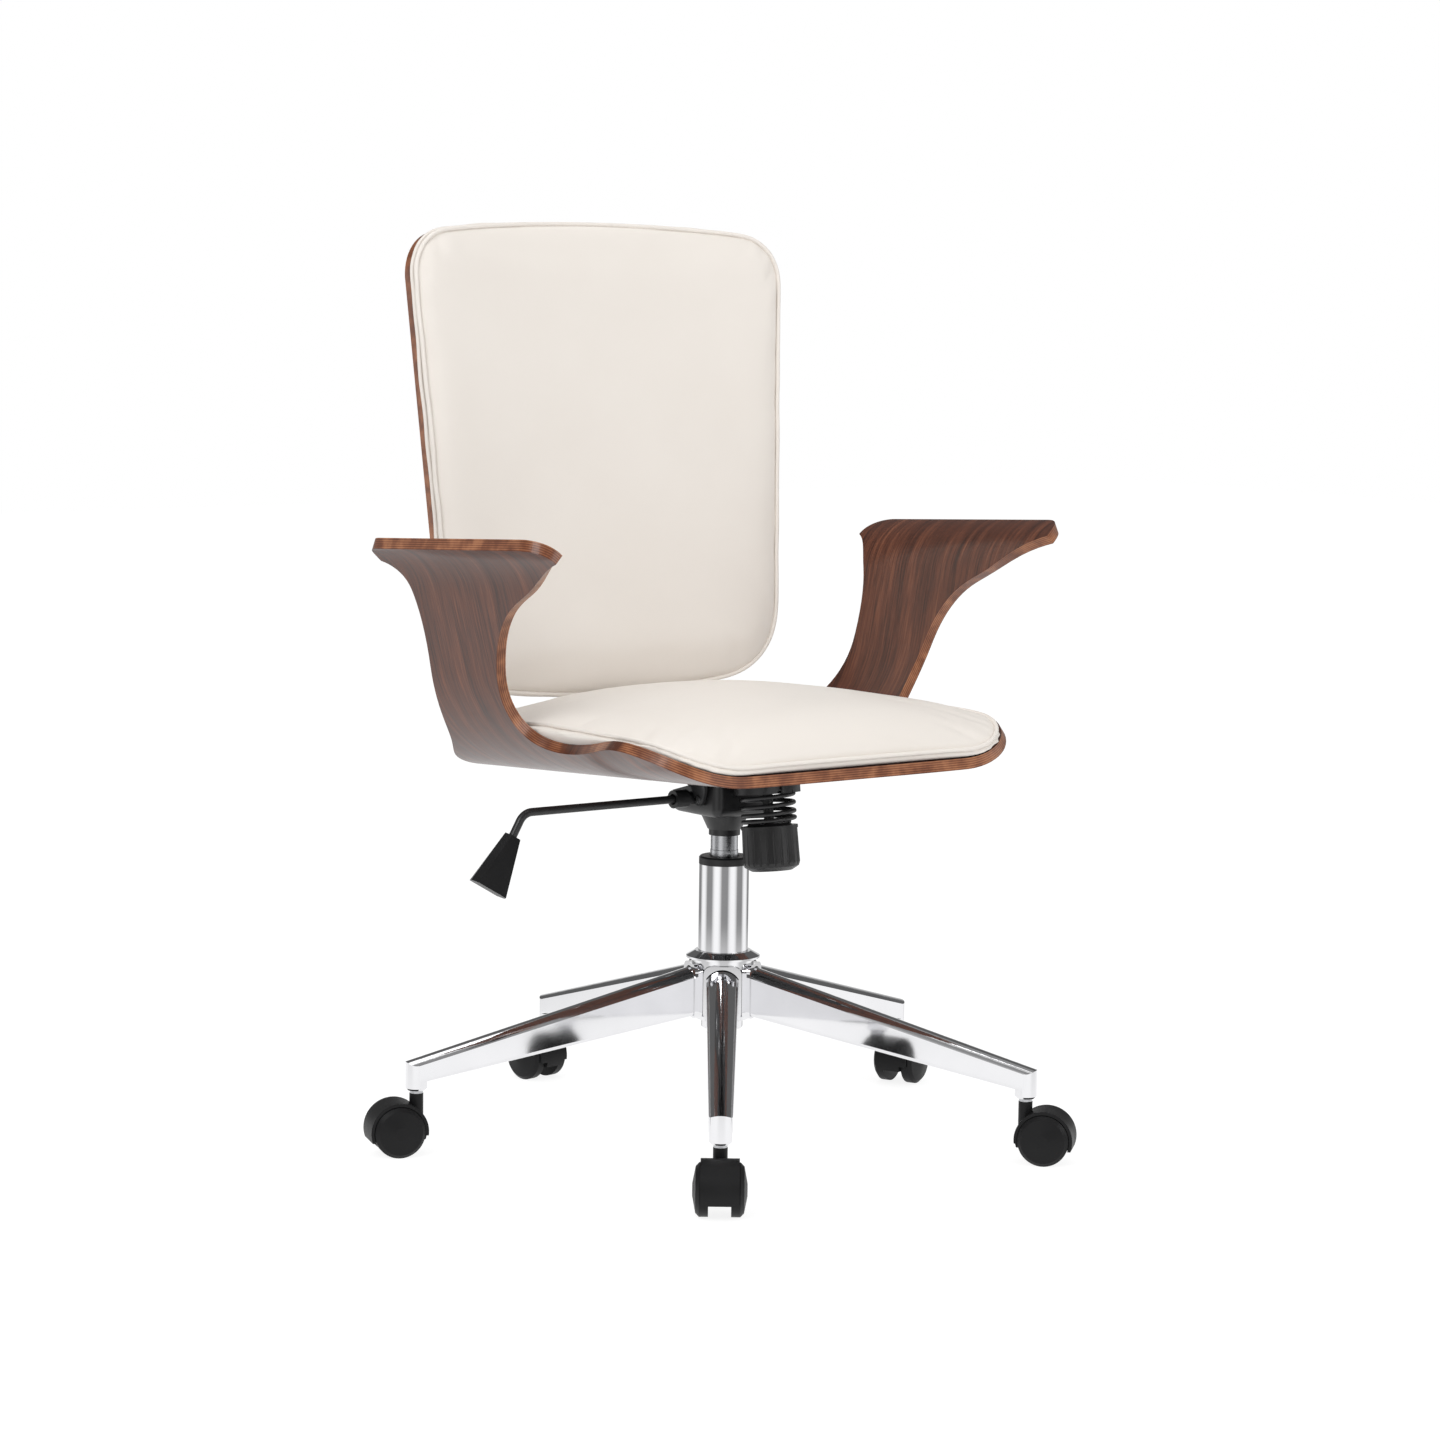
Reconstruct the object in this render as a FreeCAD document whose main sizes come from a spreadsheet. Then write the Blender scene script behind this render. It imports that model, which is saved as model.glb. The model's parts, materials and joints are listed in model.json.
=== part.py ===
# A swivel desk chair: a five-legged cast base on twin-wheel casters, a gas column with a tilting
# seat carrier, a one-piece seat and arms bent from walnut plywood, and a curved upholstered back.
# Lengths in millimetres, angles in degrees. X runs to the sitter's left, the sitter faces -Y, Z is up.

import FreeCAD, Part
import Sketcher
import math
import os
import re
from FreeCAD import Base, Placement, Rotation, Vector

LENGTHS = {
    # The column stands a little in front of the middle of the whole chair.
    "column_y": -29.0,
    # Clearances
    "fit_gap": 0.05,
    "seat_gap": 0.1,
    "soft_gap": 0.3,
    "overrun": 5.0,
    # Star base: hub
    "hub_collar_top_z": 189.0,
    "hub_collar_top_radius": 28.0,
    "hub_collar_z": 182.0,
    "hub_collar_radius": 37.0,
    "hub_collar_edge": 2.0,
    "hub_groove_z": 172.0,
    "hub_groove_radius": 31.0,
    "hub_core_radius": 29.5,
    "hub_ring_top_z": 127.0,
    "hub_ring_radius": 26.0,
    "hub_ring_z": 120.0,
    "hub_bottom_z": 110.0,
    "hub_boss_radius": 21.0,
    "hub_boss_round": 3.0,
    "hub_shelf_z": 122.0,
    "hub_shelf_thickness": 4.0,
    "hub_recess_radius": 15.0,
    "hub_rim_face": 34.5,
    "hub_rim_width": 3.0,
    "hub_rim_corner": 8.0,
    # Star base: legs
    "leg_root": 31.5,
    "leg_root_top_z": 174.0,
    "leg_root_height": 48.0,
    "leg_root_width": 32.0,
    "leg_corner": 4.0,
    "leg_tip_top_z": 94.6,
    "leg_tip_height": 24.0,
    "socket_circle": 312.8,
    "socket_radius": 10.85,
    "socket_bottom_z": 63.3,
    "socket_bevel": 2.0,
    # Column
    "tube_radius": 25.0,
    "tube_wall": 1.6,
    "tube_top_z": 275.8,
    "bush_flange": 8.0,
    "bush_length": 65.0,
    "bush_bevel": 1.5,
    "cylinder_radius": 14.0,
    "cylinder_bottom_z": 148.0,
    "cylinder_cap": 12.0,
    "cylinder_wall": 2.1,
    "cylinder_chamber_top_z": 302.0,
    "cylinder_top_z": 332.0,
    "cylinder_step": 0.4,
    "cylinder_step_z": 290.0,
    "rod_radius": 5.0,
    "rod_shank_radius": 4.0,
    "rod_bottom_z": 113.0,
    "rod_top_z": 228.0,
    "piston_thickness": 10.0,
    "piston_gap": 0.1,
    "bearing_radius": 16.0,
    "bearing_height": 8.0,
    "bearing_groove": 1.0,
    "clip_radius": 8.0,
    "clip_thickness": 1.5,
    "clip_groove": 0.8,
    "button_radius": 4.0,
    "button_length": 18.7,
    "button_top_z": 339.7,
    "button_well_z": 315.0,
    # Casters
    "wheel_radius": 25.0,
    "wheel_inner": 10.6,
    "wheel_tread": 19.0,
    "wheel_rim_radius": 21.5,
    "wheel_rim": 22.4,
    "wheel_outer": 25.4,
    "wheel_cap_radius": 6.0,
    "caster_trail": 20.0,
    "caster_axle_radius": 3.0,
    "caster_axle_end": 18.0,
    "hood_outer_radius": 28.7,
    "hood_gap": 0.6,
    "hood_half_width": 18.0,
    "hood_web": 10.2,
    "hood_front_drop": 4.0,
    "hood_rear_drop": 9.5,
    "stem_boss_radius": 6.85,
    "stem_boss_top_z": 60.0,
    "stem_radius": 5.5,
    "stem_length": 22.0,
    "stem_lower_radius": 4.0,
    "stem_collar_radius": 6.5,
    "stem_collar": 3.0,
    "stem_depth": 28.0,
    # Tilt housing
    "housing_half_width": 36.0,
    "housing_wall": 4.0,
    "housing_bottom_z": 326.0,
    "housing_round": 10.0,
    "housing_side_round": 9.0,
    "housing_rear_y": 45.0,
    "housing_rear_z": 346.0,
    "housing_crest_y": -5.0,
    "housing_crest_z": 360.0,
    "housing_front_y": -35.0,
    "socket_mouth_z": 305.0,
    "socket_lip_z": 311.0,
    "socket_lip_radius": 15.6,
    "socket_foot_radius": 17.0,
    "socket_flare_radius": 24.0,
    "nose_rear_y": -26.0,
    "nose_front_y": -97.0,
    "nose_gap": 0.5,
    "nose_side_radius": 30.0,
    "skirt_depth": 14.0,
    "skirt_wall": 2.5,
    "bolt_slot_width": 11.6,
    "bolt_slot_rear": 9.0,
    "bolt_slot_front": 2.0,
    "tilt_pin_y": -11.0,
    "tilt_pin_z": 344.0,
    "tilt_pin_radius": 4.0,
    "tilt_pin_end": 43.0,
    # Seat plate under the plywood
    "plate_half_width": 105.0,
    "plate_front_y": -140.0,
    "plate_rear_y": 60.0,
    "plate_thickness": 3.0,
    "plate_corner": 18.0,
    "wing_inner": 38.0,
    "wing_radius": 30.0,
    "wing_front_y": -48.0,
    "wing_rear_y": 44.0,
    "cheek_lobe_radius": 6.5,
    "cheek_rise": 12.0,
    # Tilt spring and its knob
    "spring_y": -67.0,
    "spring_z": 368.0,
    "spring_length": 45.7,
    "spring_outer_radius": 27.5,
    "spring_wire": 4.4,
    "bolt_radius": 5.0,
    "bolt_top": 4.2,
    "bolt_bottom": 81.0,
    "cup_radius": 28.0,
    "cup_thickness": 3.0,
    "cup_lip": 2.5,
    "knob_radius": 28.0,
    "knob_waist_radius": 27.2,
    "knob_height": 41.0,
    "knob_bevel": 4.0,
    "knob_flute_radius": 1.9,
    "knob_flute_depth": 0.9,
    "knob_bore_depth": 39.0,
    # Height lever
    "lever_y": 3.0,
    "lever_z": 344.0,
    "lever_radius": 4.0,
    "lever_inner_x": 14.0,
    "lever_bend_x": -239.0,
    "lever_bend_radius": 16.0,
    "lever_drop": 48.0,
    "sleeve_outer_x": 62.0,
    "sleeve_shoulder_x": 46.0,
    "sleeve_inner_x": 31.0,
    "sleeve_radius": 9.0,
    "sleeve_neck_radius": 6.4,
    "ball_x": 51.0,
    "ball_radius": 6.6,
    "ball_half_width": 2.5,
    "ball_end_gap": 0.6,
    "sleeve_bore_radius": 5.5,
    "grip_length": 56.0,
    "grip_top_width": 19.0,
    "grip_end_width": 44.0,
    "grip_top_thickness": 13.0,
    "grip_end_thickness": 16.0,
    "grip_facet": 4.0,
    "grip_bore": 30.0,
    # Bent seat and arms
    "seat_z": 378.3,
    "ply": 11.0,
    "seat_flat": 132.8,
    "bend_radius": 135.3,
    "arm_straight": 78.0,
    "arm_bend_radius": 60.0,
    "arm_tip_straight": 2.0,
    "seat_front_y": -215.0,
    "seat_front_side_y": -210.5,
    "seat_corner_start": 144.9,
    "seat_side": 233.8,
    "seat_side_y": -125.5,
    "seat_waist": 227.3,
    "seat_waist_y": -90.0,
    "arm_front_foot": 236.3,
    "arm_front_foot_y": 2.0,
    "arm_front_heel": 277.1,
    "arm_front_heel_y": 8.3,
    "arm_front_low": 309.1,
    "arm_front_low_y": 1.4,
    "arm_front_mid": 341.2,
    "arm_front_mid_y": -12.6,
    "arm_front_turn": 373.3,
    "arm_front_turn_y": -43.6,
    "arm_front_high": 391.5,
    "arm_front_high_y": -81.0,
    "arm_front_top": 414.0,
    "arm_front_top_y": -120.0,
    "arm_tip_front_y": -152.0,
    "seat_rear_y": 205.0,
    "seat_rear_side": 190.0,
    "seat_rear_side_y": 194.0,
    "arm_rear_foot": 230.0,
    "arm_rear_foot_y": 150.0,
    "arm_rear_heel": 277.1,
    "arm_rear_heel_y": 124.0,
    "arm_rear_mid": 341.2,
    "arm_rear_mid_y": 112.0,
    "arm_rear_high": 391.5,
    "arm_rear_high_y": 117.5,
    "arm_rear_top": 414.0,
    "arm_rear_top_y": 129.0,
    "arm_tip_rear_y": 147.0,
    "arm_tip_corner": 28.0,
    # Seat cushion
    "pad_half_width": 226.0,
    "pad_band": 9.0,
    "pad_crown": 61.0,
    "pad_front_y": -209.0,
    "pad_rear_y": 196.0,
    "pad_front_corner": 84.0,
    "pad_rear_corner": 52.0,
    # Back
    "back_y": 221.5,
    "back_bottom_z": 425.0,
    "back_height": 481.0,
    "back_curve_radius": 900.0,
    "back_low_half_width": 206.0,
    "back_high_half_width": 227.5,
    "back_low_corner": 72.0,
    "back_high_corner": 47.0,
    "back_bottom_rise": 9.0,
    "back_top_fall": 9.0,
    "back_bottom_radius": 1110.0,
    "back_top_radius": 1800.0,
    "back_pad_overhang": 5.0,
    "back_pad_thickness": 30.0,
    "back_pad_edge": 13.0,
    "back_pad_round": 6.0,
    # Back bar
    "bar_half_width": 32.0,
    "bar_thickness": 6.0,
    "bar_start_y": 62.0,
    "bar_bend_radius": 10.0,
    "bar_top_z": 590.0,
    # Screws
    "screw_radius": 3.0,
    "screw_head_radius": 7.5,
    "screw_crown_radius": 4.5,
    "screw_head": 3.6,
    "plate_screw_x": 88.0,
    "plate_screw_front_y": -118.0,
    "plate_screw_rear_y": 38.0,
    "pad_screw_margin": 9.0,
    "pad_screw_front_y": -77.0,
    "pad_screw_rear_y": 165.0,
    "bar_screw_front_y": 90.0,
    "bar_screw_rear_y": 160.0,
    "back_screw_low": 70.0,
    "back_screw_high": 140.0,
}

ANGLES = {
    "first_leg_angle": -127.2,
    "seat_pitch": 3.2,
    "spring_lean": 7.0,
    "bend_angle": 77.1,
    "arm_end_angle": 18.7,
    "back_lean": 5.9,
    "lever_bend_angle": 60.0,
    "clip_opening_angle": 70.0,
    "cheek_rear_angle": 45.0,
    "cheek_front_angle": 55.0,
}

COUNTS = {
    "leg_count": 5,
    "knob_flute_count": 24,
    "spring_turn_count": 6,
    "bend_point_count": 60,
    "corner_point_count": 5,
}

SHARES = {
    "leg_arch_share": 0.28,
    "spring_end_share": 0.28,
    "pad_edge_share": 0.3,
}

# Where each caster trails, measured from -Y towards +X.
CASTER_TRAIL_ANGLES = [-37.2, 40.8, 114.8, 188.8, 250.8]

# Where the seat cushion's sections stand in its front and rear corners.
CORNER_STATION_SHARES = [0, 0.08, 0.3, 0.65, 1]

doc = FreeCAD.newDocument("SwivelDeskChair")
sheet = doc.addObject("Spreadsheet::Sheet", "Sizes")
SIZES = {**LENGTHS, **ANGLES, **COUNTS, **SHARES}
for row, (name, number) in enumerate(SIZES.items(), start=1):
    sheet.set(f"A{row}", name)
    sheet.set(f"B{row}", str(number))
    sheet.setAlias(f"B{row}", name)
doc.recompute()

SUB_PARTS = []


def bound(formula):
    """A formula of size names as an expression of the sheet."""
    return re.sub(r"[a-z]\w*", lambda word: ("Sizes." if word[0] in SIZES else "") + word[0], formula)


def value(formula):
    """What a formula of size names comes to."""
    return float(sheet.evalExpression(bound(formula)))


def values(*formulas):
    return [value(formula) for formula in formulas]


# Sketches and features


def new_body(label):
    body = doc.addObject("PartDesign::Body", label)
    body.Label = label
    SUB_PARTS.append(body)
    return body


def new_sketch(body, plane, lift="0", turn=None):
    """A sketch on one of the body's own planes, lifted along its normal and turned about an axis."""
    sketch = body.newObject("Sketcher::SketchObject", body.Name + "_sketch")
    origin_plane = next(item for item in body.Origin.OriginFeatures if item.Role == plane)
    sketch.AttachmentSupport = [(origin_plane, "")]
    sketch.MapMode = "FlatFace"
    if turn:
        sketch.AttachmentOffset = Placement(Vector(), Rotation(turn[0], value(turn[1])))
        sketch.setExpression("AttachmentOffset.Rotation.Angle", bound(turn[1]))
    if lift != "0":
        sketch.setExpression("AttachmentOffset.Base.z", bound(lift))
    return sketch


def arc_between(start, end, radius):
    """An arc with its centre left of the way from start to end, or right of it if radius is negative."""
    chord = end - start
    reach = math.sqrt(max(radius**2 - chord.Length**2 / 4, 0))
    left = Vector(-chord.y, chord.x, 0).normalize()
    centre = (start + end) * 0.5 + left * math.copysign(reach, radius)
    first, last = (start, end) if radius > 0 else (end, start)
    angles = [math.atan2(point.y - centre.y, point.x - centre.x) for point in (first, last)]
    return Part.ArcOfCircle(Part.Circle(centre, Vector(0, 0, 1), abs(radius)), *angles)


def hold_point(sketch, index, position, formulas):
    """Dimensions from the sketch's origin to one point, bound to the sheet."""
    for kind, formula, axis in (("DistanceX", formulas[0], -2), ("DistanceY", formulas[1], -1)):
        if formula == "0":
            sketch.addConstraint(Sketcher.Constraint("PointOnObject", index, position, axis))
        else:
            dimension = Sketcher.Constraint(kind, -1, 1, index, position, value(formula))
            number = sketch.addConstraint(dimension)
            sketch.setExpression(f"Constraints[{number}]", bound(formula))


def hold_radius(sketch, index, formula):
    number = sketch.addConstraint(Sketcher.Constraint("Radius", index, abs(value(formula))))
    sketch.setExpression(f"Constraints[{number}]", bound(formula))


def draw(sketch, points, closed=True):
    """Lines and arcs through points. A third entry is the radius of the arc to the next point, with
    a minus sign in front where the arc's centre lies right of the way."""
    places = [Vector(value(point[0]), value(point[1]), 0) for point in points]
    count = len(points)
    ends = []
    first = sketch.GeometryCount
    for index in range(count if closed else count - 1):
        start, end = places[index], places[(index + 1) % count]
        if len(points[index]) == 2:
            sketch.addGeometry(Part.LineSegment(start, end), False)
            ends.append((1, 2))
        else:
            radius = value(points[index][2])
            sketch.addGeometry(arc_between(start, end, radius), False)
            ends.append((1, 2) if radius > 0 else (2, 1))
    for index, (start, end) in enumerate(ends):
        following = (index + 1) % len(ends)
        if closed or following:
            joint = (first + index, end, first + following, ends[following][0])
            sketch.addConstraint(Sketcher.Constraint("Coincident", *joint))
    for index, (start, end) in enumerate(ends):
        hold_point(sketch, first + index, start, points[index])
        if len(points[index]) == 3:
            hold_radius(sketch, first + index, points[index][2].lstrip("-"))
    if not closed:
        hold_point(sketch, first + len(ends) - 1, ends[-1][1], points[-1])
    return sketch


def draw_circle(sketch, x, y, radius):
    centre = Vector(value(x), value(y), 0)
    index = sketch.addGeometry(Part.Circle(centre, Vector(0, 0, 1), value(radius)), False)
    hold_point(sketch, index, 3, (x, y))
    hold_radius(sketch, index, radius)
    return sketch


def pad(body, sketch, length, both_ways=False, reverse=False):
    feature = body.newObject("PartDesign::Pad", body.Name + "_pad")
    feature.Profile = sketch
    feature.setExpression("Length", bound(length))
    feature.SideType = "Symmetric" if both_ways else "One side"
    feature.Reversed = reverse
    doc.recompute()
    return feature


def pocket(body, sketch, length, both_ways=False, reverse=False):
    feature = body.newObject("PartDesign::Pocket", body.Name + "_pocket")
    feature.Profile = sketch
    feature.setExpression("Length", bound(length))
    feature.SideType = "Symmetric" if both_ways else "One side"
    feature.Reversed = reverse
    doc.recompute()
    return feature


def revolve(body, sketch):
    feature = body.newObject("PartDesign::Revolution", body.Name + "_revolution")
    feature.Profile = sketch
    feature.ReferenceAxis = (sketch, ["V_Axis"])
    doc.recompute()
    return feature


def around(body, features, count):
    """Repeats features evenly around the body's Z axis."""
    pattern = body.newObject("PartDesign::PolarPattern", body.Name + "_pattern")
    pattern.Originals = features
    pattern.Axis = (next(item for item in body.Origin.OriginFeatures if item.Role == "Z_Axis"), [""])
    pattern.setExpression("Occurrences", bound(count))
    body.Tip = pattern
    doc.recompute()
    return pattern


def soften(body, radius, chosen, kind="Fillet"):
    """Fillets or chamfers the edges of the body's last feature that the test picks."""
    base = body.Tip
    names = [f"Edge{number}" for number, edge in enumerate(base.Shape.Edges, start=1) if chosen(edge)]
    feature = body.newObject("PartDesign::" + kind, body.Name + "_" + kind.lower())
    feature.Base = (base, names)
    feature.setExpression("Radius" if kind == "Fillet" else "Size", bound(radius))
    doc.recompute()
    return feature


def turned(label, points):
    """A body turned about its Z axis from an outline of radii and heights."""
    body = new_body(label)
    revolve(body, draw(new_sketch(body, "XZ_Plane"), points))
    return body


def place(piece, x="0", y="0", z="0", rotation=None):
    """Sets the piece in the chair, measured from the column's axis on the floor."""
    piece.Placement = Placement(Vector(), rotation or Rotation())
    piece.setExpression("Placement.Base.x", bound(x))
    piece.setExpression("Placement.Base.y", bound("column_y + " + y))
    piece.setExpression("Placement.Base.z", bound(z))


def about_x(angle):
    return Rotation(Vector(1, 0, 0), angle)


def about_z(angle):
    return Rotation(Vector(0, 0, 1), angle)


def on_circle(edge, radius, height):
    """Whether an edge is the level circle of this radius and height."""
    curve = edge.Curve
    if not isinstance(curve, Part.Circle):
        return False
    middle = edge.BoundBox.Center
    return abs(curve.Radius - radius) < radius / 1000 and abs(middle.z - height) < radius / 1000


# Star base


def star_hub():
    body = turned(
        "star_hub",
        [
            ("tube_radius + fit_gap", "hub_shelf_z"),
            ("tube_radius + fit_gap", "hub_collar_top_z"),
            ("hub_collar_top_radius", "hub_collar_top_z"),
            ("hub_collar_radius", "hub_collar_z + hub_collar_edge"),
            ("hub_collar_radius", "hub_collar_z"),
            ("hub_groove_radius", "hub_collar_z"),
            ("hub_groove_radius", "hub_groove_z"),
            ("hub_core_radius", "hub_groove_z"),
            ("hub_core_radius", "hub_ring_top_z"),
            ("hub_ring_radius", "hub_ring_top_z"),
            ("hub_ring_radius", "hub_ring_z"),
            ("hub_boss_radius", "hub_ring_z"),
            ("hub_boss_radius", "hub_bottom_z + hub_boss_round", "-hub_boss_round"),
            ("hub_boss_radius - hub_boss_round", "hub_bottom_z"),
            ("hub_recess_radius", "hub_bottom_z"),
            ("hub_recess_radius", "hub_shelf_z - hub_shelf_thickness"),
            ("rod_shank_radius + fit_gap", "hub_shelf_z - hub_shelf_thickness"),
            ("rod_shank_radius + fit_gap", "hub_shelf_z"),
        ],
    )
    half = "leg_root_width / 2 + hub_rim_width"
    low = "leg_root_top_z - leg_root_height - hub_rim_width"
    high = "leg_root_top_z + hub_rim_width"
    rim = new_sketch(body, "YZ_Plane", "tube_radius + tube_wall")
    draw(rim, rounded_box(half, low, high, "hub_rim_corner"))
    rim_pad = pad(body, rim, "hub_rim_face - tube_radius - tube_wall")
    seat = new_sketch(body, "YZ_Plane", "leg_root")
    depth = "(hub_rim_face - leg_root)"
    rise = "(leg_root_top_z - leg_root_height - leg_tip_top_z + leg_tip_height)"
    height = f"leg_root_height + 2 * fit_gap + {depth} * {rise} / (socket_circle - leg_root)"
    draw(seat, leg_section("leg_root_width + 2 * fit_gap", "leg_root_top_z + fit_gap", height))
    seat_pocket = pocket(body, seat, "hub_rim_face - leg_root + overrun", reverse=True)
    around(body, [rim_pad, seat_pocket], "leg_count")
    place(body, rotation=about_z(value("first_leg_angle")))


def rounded_box(half_width, low, high, corner):
    """A rectangle about the vertical axis of a sketch, with rounded corners."""
    return [
        (f"-({half_width}) + {corner}", low),
        (f"{half_width} - {corner}", low, corner),
        (half_width, f"{low} + {corner}"),
        (half_width, f"{high} - {corner}", corner),
        (f"{half_width} - {corner}", high),
        (f"-({half_width}) + {corner}", high, corner),
        (f"-({half_width})", f"{high} - {corner}"),
        (f"-({half_width})", f"{low} + {corner}", corner),
    ]


def leg_section(width, top, height):
    """A leg's section: a flat underside with rounded corners, upright sides and an arched top."""
    half = f"({width}) / 2"
    low = f"{top} - ({height})"
    rise = f"({width}) * leg_arch_share"
    arch = f"(({half})^2 + ({rise})^2) / (2 * {rise})"
    return [
        (f"-{half} + leg_corner", low),
        (f"{half} - leg_corner", low, "leg_corner"),
        (half, f"{low} + leg_corner"),
        (half, f"{top} - {rise}", arch),
        (f"-{half}", f"{top} - {rise}"),
        (f"-{half}", f"{low} + leg_corner", "leg_corner"),
    ]


def leg(number, angle):
    body = new_body(f"leg_{number}")
    slope = "(leg_root_top_z - leg_tip_top_z) / (socket_circle - leg_root)"
    shrink = "(leg_root_height - leg_tip_height) / (socket_circle - leg_root)"
    root = new_sketch(body, "YZ_Plane", "leg_root")
    draw(root, leg_section("leg_root_width", "leg_root_top_z", "leg_root_height - 2 * fit_gap"))
    tip = new_sketch(body, "YZ_Plane", "socket_circle + socket_radius + overrun")
    end_top = f"leg_tip_top_z - {slope} * (socket_radius + overrun)"
    end_height = f"leg_tip_height - {shrink} * (socket_radius + overrun)"
    draw(tip, leg_section("2 * socket_radius", end_top, end_height))
    loft = body.newObject("PartDesign::AdditiveLoft", body.Name + "_loft")
    loft.Profile = root
    loft.Sections = [tip]
    loft.Ruled = True
    doc.recompute()
    outside = "socket_radius + overrun"
    far = "socket_circle + socket_radius + 2 * overrun"
    end = new_sketch(body, "XY_Plane")
    draw(
        end,
        [
            ("socket_circle", f"-({outside})"),
            (far, f"-({outside})"),
            (far, outside),
            ("socket_circle", outside),
            ("socket_circle", "socket_radius", "-socket_radius"),
            ("socket_circle + socket_radius", "0", "-socket_radius"),
            ("socket_circle", "-socket_radius"),
        ],
    )
    pocket(body, end, "2 * leg_root_top_z", both_ways=True)
    boss = new_sketch(body, "XY_Plane", "socket_bottom_z")
    draw_circle(boss, "socket_circle", "0", "socket_radius")
    pad(body, boss, "(leg_tip_top_z - socket_bottom_z) * 2 / 3")
    radius, low = values("socket_radius", "socket_bottom_z")
    soften(body, "socket_bevel", lambda edge: on_circle(edge, radius, low), "Chamfer")
    bore = draw_circle(
        new_sketch(body, "XY_Plane", "socket_bottom_z"), "socket_circle", "0", "stem_radius + fit_gap"
    )
    pocket(body, bore, "stem_length + fit_gap", reverse=True)
    place(body, rotation=about_z(angle))


# Column


def column():
    inner = "tube_radius - tube_wall"
    shelf = "hub_shelf_z - hub_shelf_thickness"
    rod_seat = "hub_shelf_z + bearing_height + fit_gap"
    turned(
        "column_tube",
        [
            (inner, "hub_shelf_z + fit_gap"),
            ("tube_radius", "hub_shelf_z + fit_gap"),
            ("tube_radius", "tube_top_z"),
            (inner, "tube_top_z"),
        ],
    )
    turned(
        "column_bush",
        [
            ("cylinder_radius + fit_gap", "tube_top_z - bush_length"),
            (f"{inner} - fit_gap", "tube_top_z - bush_length"),
            (f"{inner} - fit_gap", "tube_top_z + fit_gap"),
            ("tube_radius", "tube_top_z + fit_gap"),
            ("tube_radius", "tube_top_z + bush_flange - bush_bevel"),
            ("tube_radius - bush_bevel", "tube_top_z + bush_flange"),
            ("cylinder_radius + bush_bevel", "tube_top_z + bush_flange"),
            ("cylinder_radius + fit_gap", "tube_top_z + bush_flange - bush_bevel"),
        ],
    )
    turned(
        "thrust_bearing",
        [
            ("rod_shank_radius + fit_gap", "hub_shelf_z + fit_gap"),
            ("bearing_radius", "hub_shelf_z + fit_gap"),
            ("bearing_radius", "hub_shelf_z + bearing_height / 3"),
            ("bearing_radius - bearing_groove", "hub_shelf_z + bearing_height / 3"),
            ("bearing_radius - bearing_groove", "hub_shelf_z + bearing_height * 2 / 3"),
            ("bearing_radius", "hub_shelf_z + bearing_height * 2 / 3"),
            ("bearing_radius", "hub_shelf_z + bearing_height"),
            ("rod_shank_radius + fit_gap", "hub_shelf_z + bearing_height"),
        ],
    )
    neck = "rod_shank_radius - clip_groove"
    clip_top = f"{shelf} - 2 * fit_gap"
    turned(
        "piston_rod",
        [
            ("0", "rod_bottom_z"),
            ("rod_shank_radius", "rod_bottom_z"),
            ("rod_shank_radius", f"{clip_top} - clip_thickness - fit_gap"),
            (neck, f"{clip_top} - clip_thickness - fit_gap"),
            (neck, f"{clip_top} + fit_gap"),
            ("rod_shank_radius", f"{clip_top} + fit_gap"),
            ("rod_shank_radius", rod_seat),
            ("rod_radius", rod_seat),
            ("rod_radius", "rod_top_z - piston_thickness"),
            ("cylinder_radius - cylinder_wall - piston_gap", "rod_top_z - piston_thickness"),
            ("cylinder_radius - cylinder_wall - piston_gap", "rod_top_z"),
            ("0", "rod_top_z"),
        ],
    )
    turned(
        "gas_cylinder",
        [
            ("rod_radius + fit_gap", "cylinder_bottom_z"),
            ("cylinder_radius - cylinder_step", "cylinder_bottom_z"),
            ("cylinder_radius", "cylinder_bottom_z + cylinder_step"),
            ("cylinder_radius", "cylinder_step_z"),
            ("cylinder_radius - cylinder_step", "cylinder_step_z + cylinder_step"),
            ("cylinder_radius - cylinder_step", "cylinder_top_z"),
            ("button_radius + fit_gap", "cylinder_top_z"),
            ("button_radius + fit_gap", "button_well_z"),
            ("0", "button_well_z"),
            ("0", "cylinder_chamber_top_z"),
            ("cylinder_radius - cylinder_wall", "cylinder_chamber_top_z"),
            ("cylinder_radius - cylinder_wall", "cylinder_bottom_z + cylinder_cap"),
            ("rod_radius + fit_gap", "cylinder_bottom_z + cylinder_cap"),
        ],
    )
    turned(
        "release_button",
        [
            ("0", "button_top_z - button_length"),
            ("button_radius", "button_top_z - button_length"),
            ("button_radius", "button_top_z"),
            ("0", "button_top_z"),
        ],
    )
    for body in SUB_PARTS[-6:]:
        place(body)
    clip = new_body("column_clip")
    opening = "clip_opening_angle / 2"
    bore = "rod_shank_radius - clip_groove + fit_gap"
    ring = new_sketch(clip, "XY_Plane", f"{clip_top} - clip_thickness")
    draw(
        ring,
        [
            (f"({bore}) * cos({opening})", f"({bore}) * sin({opening})"),
            (f"clip_radius * cos({opening})", f"clip_radius * sin({opening})", "clip_radius"),
            ("-clip_radius", "0", "clip_radius"),
            (f"clip_radius * cos({opening})", f"-clip_radius * sin({opening})"),
            (f"({bore}) * cos({opening})", f"-({bore}) * sin({opening})", f"-({bore})"),
            (f"-({bore})", "0", f"-({bore})"),
        ],
    )
    pad(clip, ring, "clip_thickness")
    place(clip)


# Casters. In its own frame a caster trails along X behind its stem.


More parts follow.
